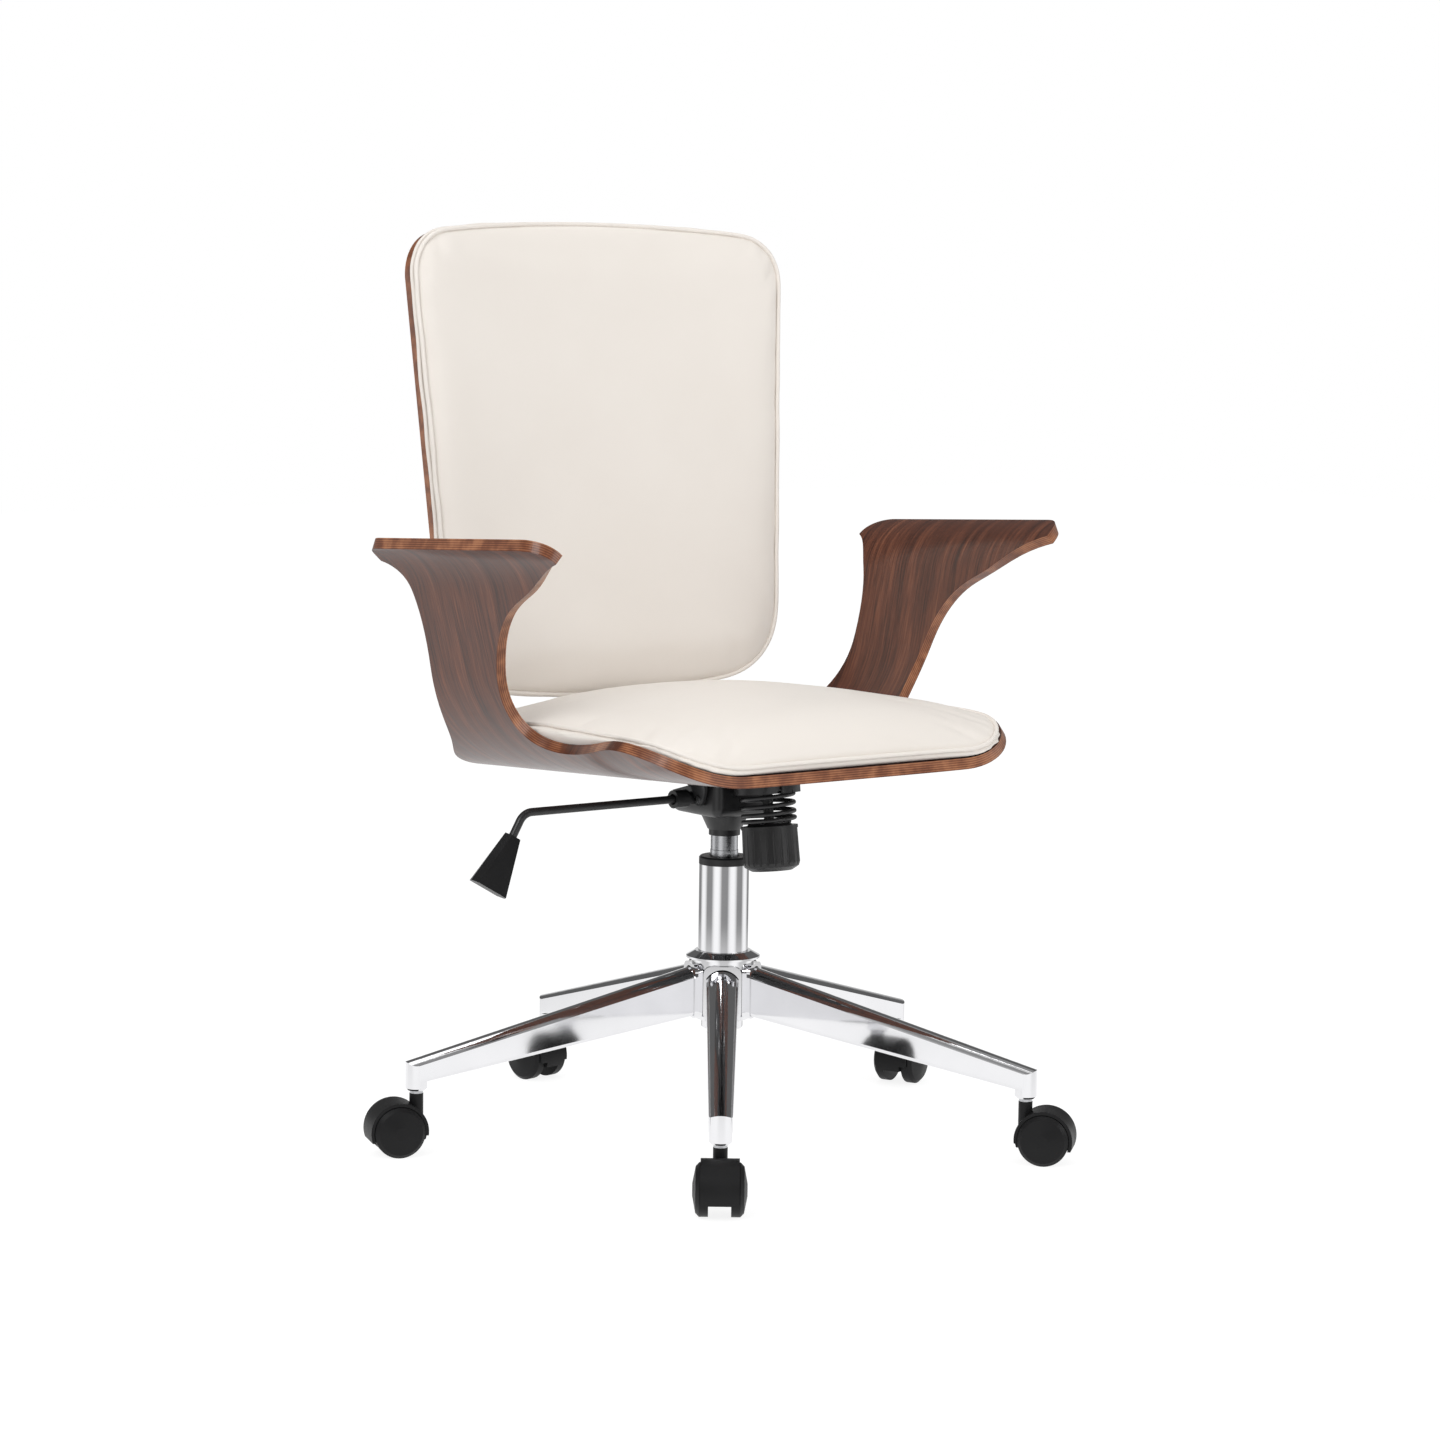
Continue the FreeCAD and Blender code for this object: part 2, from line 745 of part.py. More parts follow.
def arched(radius, rear_drop, front_drop):
    """Points of an arch about the wheels' axle, from the rear skirt over the top to the front one."""
    return [
        (f"caster_trail + sqrt(({radius})^2 - ({rear_drop})^2)", f"wheel_radius - ({rear_drop})"),
        ("caster_trail", f"wheel_radius + {radius}"),
        (f"caster_trail - sqrt(({radius})^2 - ({front_drop})^2)", f"wheel_radius - ({front_drop})"),
    ]


def caster_hood(number):
    body = new_body(f"caster_{number}_body")
    rear, top, front = arched("hood_outer_radius", "hood_rear_drop", "hood_rear_drop")
    web = new_sketch(body, "XZ_Plane")
    draw(web, [rear + ("hood_outer_radius",), top + ("hood_outer_radius",), front])
    pad(body, web, "2 * hood_web", both_ways=True)
    inner_radius = "(wheel_radius + hood_gap)"
    rear, top, front = arched("hood_outer_radius", "hood_rear_drop", "hood_front_drop")
    inner_rear, inner_top, inner_front = arched(inner_radius, "hood_rear_drop", "hood_front_drop")
    fender = new_sketch(body, "XZ_Plane")
    draw(
        fender,
        [
            rear + ("hood_outer_radius",),
            top + ("hood_outer_radius",),
            front,
            inner_front + ("-" + inner_radius,),
            inner_top + ("-" + inner_radius,),
            inner_rear,
        ],
    )
    pad(body, fender, "2 * hood_half_width", both_ways=True)
    boss = draw_circle(new_sketch(body, "XY_Plane", "wheel_radius"), "0", "0", "stem_boss_radius")
    pad(body, boss, "stem_boss_top_z - wheel_radius")
    bore = draw_circle(
        new_sketch(body, "XY_Plane", "stem_boss_top_z"), "0", "0", "stem_lower_radius + fit_gap"
    )
    pocket(body, bore, "stem_depth + 2 * fit_gap")
    axle = draw_circle(
        new_sketch(body, "XZ_Plane"), "caster_trail", "wheel_radius", "caster_axle_radius + fit_gap"
    )
    pocket(body, axle, "2 * hood_web + overrun", both_ways=True)
    return body


def caster_stem(number):
    collar_top = "socket_bottom_z"
    collar_low = "socket_bottom_z - stem_collar"
    return turned(
        f"caster_{number}_stem",
        [
            ("0", "stem_boss_top_z - stem_depth"),
            ("stem_lower_radius", "stem_boss_top_z - stem_depth"),
            ("stem_lower_radius", collar_low),
            ("stem_collar_radius", collar_low),
            ("stem_collar_radius", collar_top),
            ("stem_radius", collar_top),
            ("stem_radius", f"{collar_top} + stem_length"),
            ("0", f"{collar_top} + stem_length"),
        ],
    )


def caster_axle(number):
    body = new_body(f"caster_{number}_axle")
    pin = draw_circle(new_sketch(body, "XZ_Plane"), "caster_trail", "wheel_radius", "caster_axle_radius")
    pad(body, pin, "2 * caster_axle_end", both_ways=True)
    return body


def caster_wheel(label):
    """A wheel turned about its own Y axis, on the side of +Y."""
    body = new_body(label)
    profile = new_sketch(body, "XY_Plane")
    bore = "caster_axle_radius + fit_gap"
    draw(
        profile,
        [
            (bore, "wheel_inner"),
            ("wheel_radius", "wheel_inner"),
            ("wheel_radius", "wheel_tread"),
            ("wheel_rim_radius", "wheel_rim"),
            ("wheel_cap_radius", "wheel_outer"),
            ("0", "wheel_outer"),
            ("0", "caster_axle_end + fit_gap"),
            (bore, "caster_axle_end + fit_gap"),
        ],
    )
    revolve(body, profile)
    return body


def caster(number, leg_angle, trail_angle):
    """A caster under the leg's end. Both angles are counted from X towards Y."""
    x = f"socket_circle * cos({leg_angle})"
    y = f"socket_circle * sin({leg_angle})"
    for piece in (caster_hood(number), caster_stem(number), caster_axle(number)):
        place(piece, x, y, rotation=about_z(trail_angle))
    for side, half_turn in (("left", 0), ("right", 180)):
        wheel = caster_wheel(f"caster_{number}_wheel_{side}")
        place(
            wheel,
            f"{x} + caster_trail * cos({trail_angle})",
            f"{y} + caster_trail * sin({trail_angle})",
            "wheel_radius",
            about_z(trail_angle + half_turn),
        )


# Tilt housing, with the spring's nose in front

# The seat's own frame is pitched up at the front about the plywood's middle over the column.
PIN_Y = "(tilt_pin_y * cos(seat_pitch) - (tilt_pin_z - seat_z) * sin(seat_pitch))"
PIN_Z = "(tilt_pin_y * sin(seat_pitch) + (tilt_pin_z - seat_z) * cos(seat_pitch))"
PLATE_TOP = "(-ply / 2 - seat_gap)"
PLATE_LOW = "(-ply / 2 - seat_gap - plate_thickness)"


def nose_top(y):
    """Height of the nose's top, which follows the underside of the seat plate."""
    return f"seat_z + {PLATE_LOW} / cos(seat_pitch) - nose_gap - ({y}) * tan(seat_pitch)"


def nose_low(y):
    """Height of the nose's underside, square to the spring's axis."""
    return f"spring_z - ({y} - spring_y) * tan(spring_lean)"


def tilt_housing():
    body = new_body("tilt_housing")
    side = new_sketch(body, "YZ_Plane")
    draw(
        side,
        [
            ("housing_front_y + housing_round", "housing_bottom_z"),
            ("housing_rear_y - housing_round", "housing_bottom_z", "housing_round"),
            ("housing_rear_y", "housing_bottom_z + housing_round"),
            ("housing_rear_y", "housing_rear_z"),
            ("housing_crest_y", "housing_crest_z"),
            ("nose_rear_y", nose_top("nose_rear_y")),
            ("nose_front_y", nose_top("nose_front_y")),
            ("nose_front_y", nose_low("nose_front_y")),
            ("housing_front_y", nose_low("housing_front_y")),
            ("housing_front_y", "housing_bottom_z + housing_round", "housing_round"),
        ],
    )
    pad(body, side, "2 * housing_half_width", both_ways=True)
    low, front, rear = values(
        "housing_bottom_z", "housing_front_y + housing_round", "housing_rear_y - housing_round"
    )

    def is_bottom_side(edge):
        box = edge.BoundBox
        at_bottom = abs(box.ZMin - low) + abs(box.ZMax - low) < (rear - front) / 1000
        return at_bottom and box.YLength > box.XLength

    soften(body, "housing_side_round", is_bottom_side)
    cavity = new_sketch(body, "YZ_Plane")
    draw(
        cavity,
        [
            ("housing_front_y + housing_wall", "housing_bottom_z + housing_wall"),
            ("housing_rear_y - housing_wall", "housing_bottom_z + housing_wall"),
            ("housing_rear_y - housing_wall", "seat_z + overrun"),
            ("housing_front_y + housing_wall", "seat_z + overrun"),
        ],
    )
    pocket(body, cavity, "2 * (housing_half_width - housing_wall)", both_ways=True)
    funnel = new_sketch(body, "XZ_Plane")
    draw(
        funnel,
        [
            ("cylinder_radius - cylinder_wall", "socket_mouth_z"),
            ("socket_lip_radius", "socket_mouth_z"),
            ("socket_lip_radius", "socket_lip_z"),
            ("socket_foot_radius", "socket_lip_z"),
            ("socket_flare_radius", "housing_bottom_z"),
            ("socket_flare_radius", "housing_bottom_z + housing_wall"),
            ("cylinder_radius - cylinder_wall", "housing_bottom_z + housing_wall"),
        ],
    )
    revolve(body, funnel)
    lean = (Vector(1, 0, 0), "-spring_lean")
    skirt = new_sketch(body, "XY_Plane", "0", lean)
    hold_spring_frame(skirt)
    draw_circle(skirt, "0", "0", "spring_outer_radius + skirt_wall + overrun / 2")
    draw_circle(skirt, "0", "0", "spring_outer_radius + overrun / 2")
    pad(body, skirt, "skirt_depth", reverse=True)
    slot = new_sketch(body, "XY_Plane", "0", lean)
    hold_spring_frame(slot)
    half = "bolt_slot_width / 2"
    draw(
        slot,
        [
            (f"-{half}", "-bolt_slot_front", half),
            ("0", f"-bolt_slot_front - {half}", half),
            (half, "-bolt_slot_front"),
            (half, "bolt_slot_rear", half),
            ("0", f"bolt_slot_rear + {half}", half),
            (f"-{half}", "bolt_slot_rear"),
        ],
    )
    pocket(body, slot, "2 * (seat_z - spring_z + overrun)", both_ways=True)
    round_nose(body)
    bore = new_sketch(body, "XY_Plane", "socket_mouth_z - overrun")
    draw_circle(bore, "0", "0", "cylinder_radius + fit_gap")
    pocket(body, bore, "housing_bottom_z + housing_wall - socket_mouth_z + 2 * overrun", reverse=True)
    pin = draw_circle(new_sketch(body, "YZ_Plane"), "tilt_pin_y", "tilt_pin_z", "tilt_pin_radius + fit_gap")
    pocket(body, pin, "2 * housing_half_width + overrun", both_ways=True)
    sleeve = draw_circle(new_sketch(body, "YZ_Plane"), "lever_y", "lever_z", "sleeve_neck_radius + fit_gap")
    pocket(body, sleeve, "housing_half_width + overrun")
    place(body)


def hold_spring_frame(sketch):
    """Moves a sketch to the top of the spring on its leaning axis."""
    sketch.setExpression("AttachmentOffset.Base.y", bound("spring_y"))
    sketch.setExpression("AttachmentOffset.Base.z", bound("spring_z"))


def round_nose(body):
    """Rounds the nose's two front corners in plan."""
    edge, far = "housing_half_width", "housing_half_width + overrun"
    start = "nose_front_y + nose_side_radius"
    for sign in ("", "-"):
        corner = new_sketch(body, "XY_Plane", "housing_bottom_z + housing_round")
        draw(
            corner,
            [
                (f"{sign}({edge} - nose_side_radius)", "nose_front_y", f"{sign}nose_side_radius"),
                (f"{sign}({edge})", start),
                (f"{sign}({far})", start),
                (f"{sign}({far})", "nose_front_y - overrun"),
                (f"{sign}({edge} - nose_side_radius)", "nose_front_y - overrun"),
            ],
        )
        pocket(body, corner, "seat_z - housing_bottom_z", reverse=True)


def tilt_axle():
    body = new_body("tilt_axle")
    pin = draw_circle(new_sketch(body, "YZ_Plane"), "tilt_pin_y", "tilt_pin_z", "tilt_pin_radius")
    pad(body, pin, "2 * tilt_pin_end", both_ways=True)
    place(body)


# Seat plate: a pressed plate with two curved wings that hang on the tilt axle


def seat_frame():
    return about_x(-value("seat_pitch"))


def seat_plate():
    body = new_body("seat_plate")
    plan = new_sketch(body, "XY_Plane", PLATE_LOW)
    draw(plan, rounded_box("plate_half_width", "plate_front_y", "plate_rear_y", "plate_corner"))
    pad(body, plan, "plate_thickness")
    outer = "(wing_inner + plate_thickness)"
    centre = f"({outer} + wing_radius)"
    level = f"({PLATE_LOW} - wing_radius)"
    low = f"({PIN_Z} - cheek_lobe_radius)"
    for sign in ("", "-"):
        wing = new_sketch(body, "XZ_Plane", "-(wing_front_y + wing_rear_y) / 2")
        inward = "(wing_radius + plate_thickness)"
        outward = "-" if sign == "" else ""
        draw(
            wing,
            [
                (f"{sign}wing_inner", low),
                (f"{sign}{outer}", low),
                (f"{sign}{outer}", level, f"{outward}wing_radius"),
                (f"{sign}{centre}", PLATE_LOW),
                (f"{sign}{centre}", PLATE_TOP, f"{sign}{inward}"),
                (f"{sign}wing_inner", level),
            ],
        )
        pad(body, wing, "wing_rear_y - wing_front_y", both_ways=True)
    trim = new_sketch(body, "YZ_Plane")
    trim_low = f"{PIN_Z} - cheek_lobe_radius - overrun"
    lobe = "cheek_lobe_radius"
    rear_y = f"{PIN_Y} + {lobe}"
    rear_z = f"({PIN_Z} + cheek_rise)"
    far = "(wing_rear_y + overrun)"
    near = "(wing_front_y - overrun)"
    front_y = f"({PIN_Y} - {lobe} * sin(cheek_front_angle))"
    front_z = f"({PIN_Z} - {lobe} * cos(cheek_front_angle))"
    draw(
        trim,
        [
            (near, trim_low),
            (far, trim_low),
            (far, PLATE_LOW),
            (f"{rear_y} + ({PLATE_LOW} - {rear_z}) / tan(cheek_rear_angle)", PLATE_LOW),
            (rear_y, rear_z),
            (rear_y, PIN_Z, f"-{lobe}"),
            (PIN_Y, f"{PIN_Z} - {lobe}", f"-{lobe}"),
            (front_y, front_z),
            (f"{front_y} - ({PLATE_LOW} - {front_z}) / tan(cheek_front_angle)", PLATE_LOW),
            (near, PLATE_LOW),
        ],
    )
    pocket(body, trim, "2 * plate_half_width", both_ways=True)
    pin = draw_circle(new_sketch(body, "YZ_Plane"), PIN_Y, PIN_Z, "tilt_pin_radius + 2 * fit_gap")
    pocket(body, pin, "2 * plate_half_width", both_ways=True)
    holes = new_sketch(body, "XY_Plane", PLATE_LOW)
    for sign in ("", "-"):
        for y in ("plate_screw_front_y", "plate_screw_rear_y"):
            draw_circle(holes, f"{sign}plate_screw_x", y, "screw_radius + fit_gap")
    pocket(body, holes, "plate_thickness + overrun", reverse=True)
    place(body, z="seat_z", rotation=seat_frame())


# Tilt spring, its bolt, cup and knob, on one leaning axis


def on_spring_axis(piece):
    place(piece, y="spring_y", z="spring_z", rotation=about_x(-value("spring_lean")))


def tension_bolt():
    body = turned(
        "tension_bolt",
        [
            ("0", "-bolt_bottom"),
            ("bolt_radius - bush_bevel", "-bolt_bottom"),
            ("bolt_radius", "-bolt_bottom + bush_bevel"),
            ("bolt_radius", "bolt_top"),
            ("0", "bolt_top"),
        ],
    )
    on_spring_axis(body)


def spring_cup():
    body = turned(
        "spring_cup",
        [
            ("bolt_radius + fit_gap", "-spring_length - cup_thickness"),
            ("cup_radius", "-spring_length - cup_thickness"),
            ("cup_radius", "-spring_length"),
            ("spring_outer_radius - spring_wire - soft_gap", "-spring_length"),
            ("spring_outer_radius - spring_wire - soft_gap - cup_lip", "-spring_length + cup_lip"),
            ("bolt_radius + fit_gap", "-spring_length + cup_lip"),
        ],
    )
    on_spring_axis(body)


def tension_knob():
    top = "(-spring_length - cup_thickness - fit_gap)"
    low = f"({top} - knob_height)"
    body = turned(
        "tension_knob",
        [
            ("0", low),
            ("knob_radius - 2 * knob_bevel", low),
            ("knob_radius - knob_bevel / 3", f"{low} + knob_bevel"),
            ("knob_radius", f"{low} + 2 * knob_bevel"),
            ("knob_waist_radius", top),
            ("bolt_radius + fit_gap", top),
            ("bolt_radius + fit_gap", f"{top} - knob_bore_depth"),
            ("0", f"{top} - knob_bore_depth"),
        ],
    )
    centre = "knob_radius + knob_flute_radius - knob_flute_depth"
    flute = draw_circle(new_sketch(body, "XY_Plane", low), centre, "0", "knob_flute_radius")
    cut = pocket(body, flute, "knob_height * 2", both_ways=True)
    around(body, [cut], "knob_flute_count")
    on_spring_axis(body)


def arc_leaving(start, direction, end):
    """The arc from start to end that leaves start in the given direction."""
    chord = end - start
    half_turn = direction.getAngle(chord) / 2
    side = direction - chord * (direction.dot(chord) / chord.dot(chord))
    middle = (start + end) * 0.5 + side.normalize() * (chord.Length / 2 * math.tan(half_turn))
    return Part.Arc(start, middle, end)


def biarc(start, start_direction, end, end_direction):
    """Two arcs that join two points and keep the directions at both."""
    across = end - start
    both = start_direction + end_direction
    spare = 2 * (1 - start_direction.dot(end_direction))
    along = across.dot(both)
    reach = (math.sqrt(along**2 + spare * across.dot(across)) - along) / spare
    joint = (start + start_direction * reach + end - end_direction * reach) * 0.5
    first = arc_leaving(start, start_direction, joint)
    second = arc_leaving(end, end_direction * -1, joint)
    return [first.toShape(), second.toShape()]


def tension_spring():
    """A coil spring whose pitch closes up towards both ends."""
    wire, outer, length, gap = values("spring_wire", "spring_outer_radius", "spring_length", "soft_gap")
    turns, closing = values("spring_turn_count", "spring_end_share")
    radius = outer - wire / 2
    climb = length - wire - 2 * gap
    low = -length + wire / 2 + gap

    def point(turn):
        share = turn / turns - closing * math.sin(2 * math.pi * turn / turns) / (2 * math.pi)
        angle = 2 * math.pi * turn
        return Vector(radius * math.cos(angle), radius * math.sin(angle), low + climb * share)

    def direction(turn):
        slope = climb * (1 - closing * math.cos(2 * math.pi * turn / turns)) / turns
        angle = 2 * math.pi * turn
        around_rate = 2 * math.pi * radius
        return Vector(-around_rate * math.sin(angle), around_rate * math.cos(angle), slope).normalize()

    quarter_turns = [step / 4 for step in range(int(turns) * 4 + 1)]
    edges = []
    for start, end in zip(quarter_turns, quarter_turns[1:]):
        edges += biarc(point(start), direction(start), point(end), direction(end))
    path = Part.Wire(Part.__sortEdges__(edges))
    section = Part.Wire(Part.makeCircle(wire / 2, point(0), direction(0)))
    coil = path.makePipeShell([section], True, False)
    points = [point(step / 36) for step in range(int(turns) * 36 + 1)]
    nearest = min(
        (points[i] - points[j]).Length
        for i in range(len(points))
        for j in range(i + 18, len(points))
    )
    print(f"tension_spring: least gap to itself {nearest - wire:.2f} mm")
    piece = doc.addObject("Part::Feature", "tension_spring")
    piece.Label = "tension_spring"
    piece.Shape = coil
    SUB_PARTS.append(piece)
    on_spring_axis(piece)


# Height lever. Its frame lies on the lever's own axis, which runs along X over the button.


def on_lever_axis(piece, rotation=None):
    place(piece, y="lever_y", z="lever_z", rotation=rotation)


def lever_sleeve():
    """A collar in the housing's side with a round seat for the lever's ball."""
    body = turned(
        "lever_sleeve",
        [
            ("sleeve_bore_radius", "sleeve_inner_x"),
            ("sleeve_neck_radius", "sleeve_inner_x"),
            ("sleeve_neck_radius", "sleeve_shoulder_x"),
            ("sleeve_radius", "sleeve_shoulder_x"),
            ("sleeve_radius", "sleeve_outer_x"),
            ("sleeve_bore_radius", "sleeve_outer_x"),
            ("sleeve_bore_radius", "ball_x + ball_half_width + ball_end_gap"),
            ("ball_radius + fit_gap", "ball_x + ball_half_width + ball_end_gap"),
            ("ball_radius + fit_gap", "ball_x - ball_half_width - ball_end_gap"),
            ("sleeve_bore_radius", "ball_x - ball_half_width - ball_end_gap"),
        ],
    )
    on_lever_axis(body, Rotation(Vector(0, 1, 0), -90))


def lever_ball():
    """A barrel-shaped bush that lets the lever swing while it slides."""
    radius = "sqrt(ball_radius^2 - ball_half_width^2)"
    body = turned(
        "lever_ball",
        [
            ("lever_radius + fit_gap", "ball_x - ball_half_width"),
            (radius, "ball_x - ball_half_width", "ball_radius"),
            (radius, "ball_x + ball_half_width"),
            ("lever_radius + fit_gap", "ball_x + ball_half_width"),
        ],
    )
    on_lever_axis(body, Rotation(Vector(0, 1, 0), -90))


def lever_rod():
    body = new_body("lever_rod")
    tangent = "lever_bend_radius * tan(lever_bend_angle / 2)"
    drop = "lever_drop"
    path = new_sketch(body, "XZ_Plane")
    draw(
        path,
        [
            ("lever_inner_x", "0"),
            (f"lever_bend_x + {tangent}", "0", "lever_bend_radius"),
            (f"lever_bend_x - {tangent} * cos(lever_bend_angle)", f"-{tangent} * sin(lever_bend_angle)"),
            (f"lever_bend_x - {drop} / tan(lever_bend_angle)", f"-{drop}"),
        ],
        closed=False,
    )
    section = draw_circle(new_sketch(body, "YZ_Plane", "lever_inner_x"), "0", "0", "lever_radius")
    sweep = body.newObject("PartDesign::AdditivePipe", "lever_rod_sweep")
    sweep.Profile = section
    sweep.Spine = path
    doc.recompute()
    on_lever_axis(body)


def lever_grip():
    """A flat faceted paddle on the lever's end, wider towards its tip."""
    body = new_body("lever_grip")
    root = new_sketch(body, "XY_Plane")
    draw(root, grip_section("grip_top_width", "grip_top_thickness"))
    end = new_sketch(body, "XY_Plane", "grip_length")
    draw(end, grip_section("grip_end_width", "grip_end_thickness"))
    loft = body.newObject("PartDesign::AdditiveLoft", "lever_grip_loft")
    loft.Profile = root
    loft.Sections = [end]
    loft.Ruled = True
    doc.recompute()
    bore = draw_circle(new_sketch(body, "XY_Plane"), "0", "0", "lever_radius + fit_gap")
    pocket(body, bore, "grip_bore + fit_gap", reverse=True)
    body.Placement = Placement(Vector(), Rotation(Vector(0, 1, 0), -90 - value("lever_bend_angle")))
    back = "(lever_drop - grip_bore * sin(lever_bend_angle))"
    body.setExpression("Placement.Base.x", bound(f"lever_bend_x - {back} / tan(lever_bend_angle)"))
    body.setExpression("Placement.Base.y", bound("column_y + lever_y"))
    body.setExpression("Placement.Base.z", bound(f"lever_z - {back}"))


def grip_section(width, thickness):
    half, deep = f"{width} / 2", f"{thickness} / 2"
    return [
        (f"{half} - grip_facet", f"-{deep}"),
        (half, "0"),
        (f"{half} - grip_facet", deep),
        (f"-{half} + grip_facet", deep),
        (f"-{half}", "0"),
        (f"-{half} + grip_facet", f"-{deep}"),
    ]


# Seat and arms: one bent sheet. Its middle surface is a profile in XZ carried along Y, and its
# outline is drawn on that surface in the distance along the bend and in Y.


def seat_profile():
    """Points and a curve of the middle surface's profile, from one arm's tip to the other."""
    flat, radius, straight, end_radius, tip = values(
        "seat_flat", "bend_radius", "arm_straight", "arm_bend_radius", "arm_tip_straight"
    )
    turn, end_turn = math.radians(value("bend_angle")), math.radians(value("arm_end_angle"))

    def bend(angle):
        return Vector(flat + radius * math.sin(angle), 0, radius * (1 - math.cos(angle)))

    def lean(angle):
        return Vector(math.cos(angle), 0, math.sin(angle))

    top = bend(turn) + lean(turn) * straight

    def curl(angle):
        across = math.sin(turn) - math.sin(angle)
        up = math.cos(angle) - math.cos(turn)
        return top + Vector(across, 0, up) * end_radius

    end = curl(end_turn)
    half = Part.Wire(
        [
            Part.LineSegment(Vector(), bend(0)).toShape(),
            Part.Arc(bend(0), bend(turn / 2), bend(turn)).toShape(),
            Part.LineSegment(bend(turn), top).toShape(),
            Part.Arc(top, curl((turn + end_turn) / 2), end).toShape(),
            Part.LineSegment(end, end + lean(end_turn) * tip).toShape(),
        ]
    )
    right = half.discretize(Number=int(value("bend_point_count")))
    left = [Vector(-point.x, 0, point.z) for point in reversed(right[1:])]
    curve = Part.BSplineCurve()
    curve.interpolate(left + right)
    return curve, half.Length


def seat_shell():
    curve, reach = seat_profile()
    surface = Part.SurfaceOfExtrusion(curve, Vector(0, 1, 0))
    middle = curve.parameter(Vector())

    def on_sheet(along, y):
        return Base.Vector2d(curve.parameterAtDistance(along, middle), y)

    def edge(places, side=1):
        """A smooth edge on the sheet through places given as distances along the bend and Y."""
        line = Part.Geom2d.BSplineCurve2d()
        line.interpolate([on_sheet(side * along, y) for along, y in places])
        return line.toShape(surface)

    def place_of(name):
        return tuple(values(name, name + "_y"))

    def corner(side, y, inward):
        """The rounded corner of an arm's tip, from its side edge to its end edge."""
        radius = value("arm_tip_corner")
        start = reach - radius
        count = int(value("corner_point_count"))
        steps = [math.pi / 2 * step / (count - 1) for step in range(count)]
        return edge(
            [
                (start + radius * math.sin(step), y + inward * radius * (1 - math.cos(step)))
                for step in steps
            ],
            side,
        )

    radius = value("arm_tip_corner")
    start_s, side_s = values("seat_corner_start", "seat_side")
    front_side_y, side_y = values("seat_front_side_y", "seat_side_y")
    front = [(0, value("seat_front_y"))]
    for step in range(3):
        angle = math.pi / 2 * step / 3
        along = start_s + (side_s - start_s) * math.sin(angle)
        front.append((along, side_y + (front_side_y - side_y) * math.cos(angle)))
    front += [place_of(name) for name in ("seat_side", "seat_waist", "arm_front_foot", "arm_front_heel")]
    front += [place_of("arm_front_" + name) for name in ("low", "mid", "turn", "high", "top")]
    front.append((reach - radius, value("arm_tip_front_y")))
    rear = [(0, value("seat_rear_y"))]
    rear += [place_of(name) for name in ("seat_rear_side", "arm_rear_foot", "arm_rear_heel")]
    rear += [place_of("arm_rear_" + name) for name in ("mid", "high", "top")]
    rear.append((reach - radius, value("arm_tip_rear_y")))

    def both_sides(places):
        return [(-along, y) for along, y in reversed(places[1:])] + places

    edges = [edge(both_sides(front)), edge(both_sides(rear))]
    front_y, rear_y = values("arm_tip_front_y", "arm_tip_rear_y")
    for side in (1, -1):
        edges.append(corner(side, front_y, 1))
        edges.append(corner(side, rear_y, -1))
        tip = Part.Geom2d.Line2dSegment(
            on_sheet(side * reach, front_y + radius), on_sheet(side * reach, rear_y - radius)
        )
        edges.append(tip.toShape(surface))
    sheet_face = Part.Face(surface, Part.Wire(Part.__sortEdges__(edges)))
    sheet_face.validate()
    thickness, tolerance = values("ply", "fit_gap / 5")
    lower = sheet_face.makeOffsetShape(-thickness / 2, tolerance, fill=False)
    shell = lower.makeOffsetShape(thickness, tolerance, fill=True).Solids[0]
    radius, deep = values("screw_radius + fit_gap", "2 * ply")
    for x, y in seat_screws():
        shell = shell.cut(Part.makeCylinder(radius, deep, Vector(x, y, -deep / 2)))
    piece = doc.addObject("Part::Feature", "seat_shell")
    piece.Label = "seat_shell"
    piece.Shape = shell
    SUB_PARTS.append(piece)
    place(piece, z="seat_z", rotation=seat_frame())


PLATE_SCREWS = [
    (f"{side}plate_screw_x", y)
    for side in ("", "-")
    for y in ("plate_screw_front_y", "plate_screw_rear_y")
]
PAD_SCREWS = [
    (f"{side}(plate_half_width + pad_screw_margin)", y)
    for side in ("", "-")
    for y in ("pad_screw_front_y", "pad_screw_rear_y")
]
BAR_SCREWS = [("0", "bar_screw_front_y"), ("0", "bar_screw_rear_y")]


def seat_screws():
    return [values(x, y) for x, y in PLATE_SCREWS + PAD_SCREWS + BAR_SCREWS]


def screws(label, places, head_top, tip, base, rotation):
    """Screws that point along Z with their heads down, in one sub-part."""
    pieces = []
    for x, y in places:
        shank = doc.addObject("Part::Cylinder", label + "_shank")
        shank.setExpression("Radius", bound("screw_radius"))
        shank.setExpression("Height", bound(f"{tip} - ({head_top})"))
        shank.setExpression("Placement.Base.z", bound(head_top))
        head = doc.addObject("Part::Cone", label + "_head")
        head.setExpression("Radius1", bound("screw_crown_radius"))
        head.setExpression("Radius2", bound("screw_head_radius"))
        head.setExpression("Height", bound("screw_head"))
        head.setExpression("Placement.Base.z", bound(f"{head_top} - screw_head"))
        for primitive in (shank, head):
            primitive.setExpression("Placement.Base.x", bound(x))
            primitive.setExpression("Placement.Base.y", bound(y))
        pieces += [shank, head]
    fused = doc.addObject("Part::MultiFuse", label)
    fused.Label = label
    fused.Shapes = pieces
    SUB_PARTS.append(fused)
    doc.recompute()
    place(fused, *base, rotation)


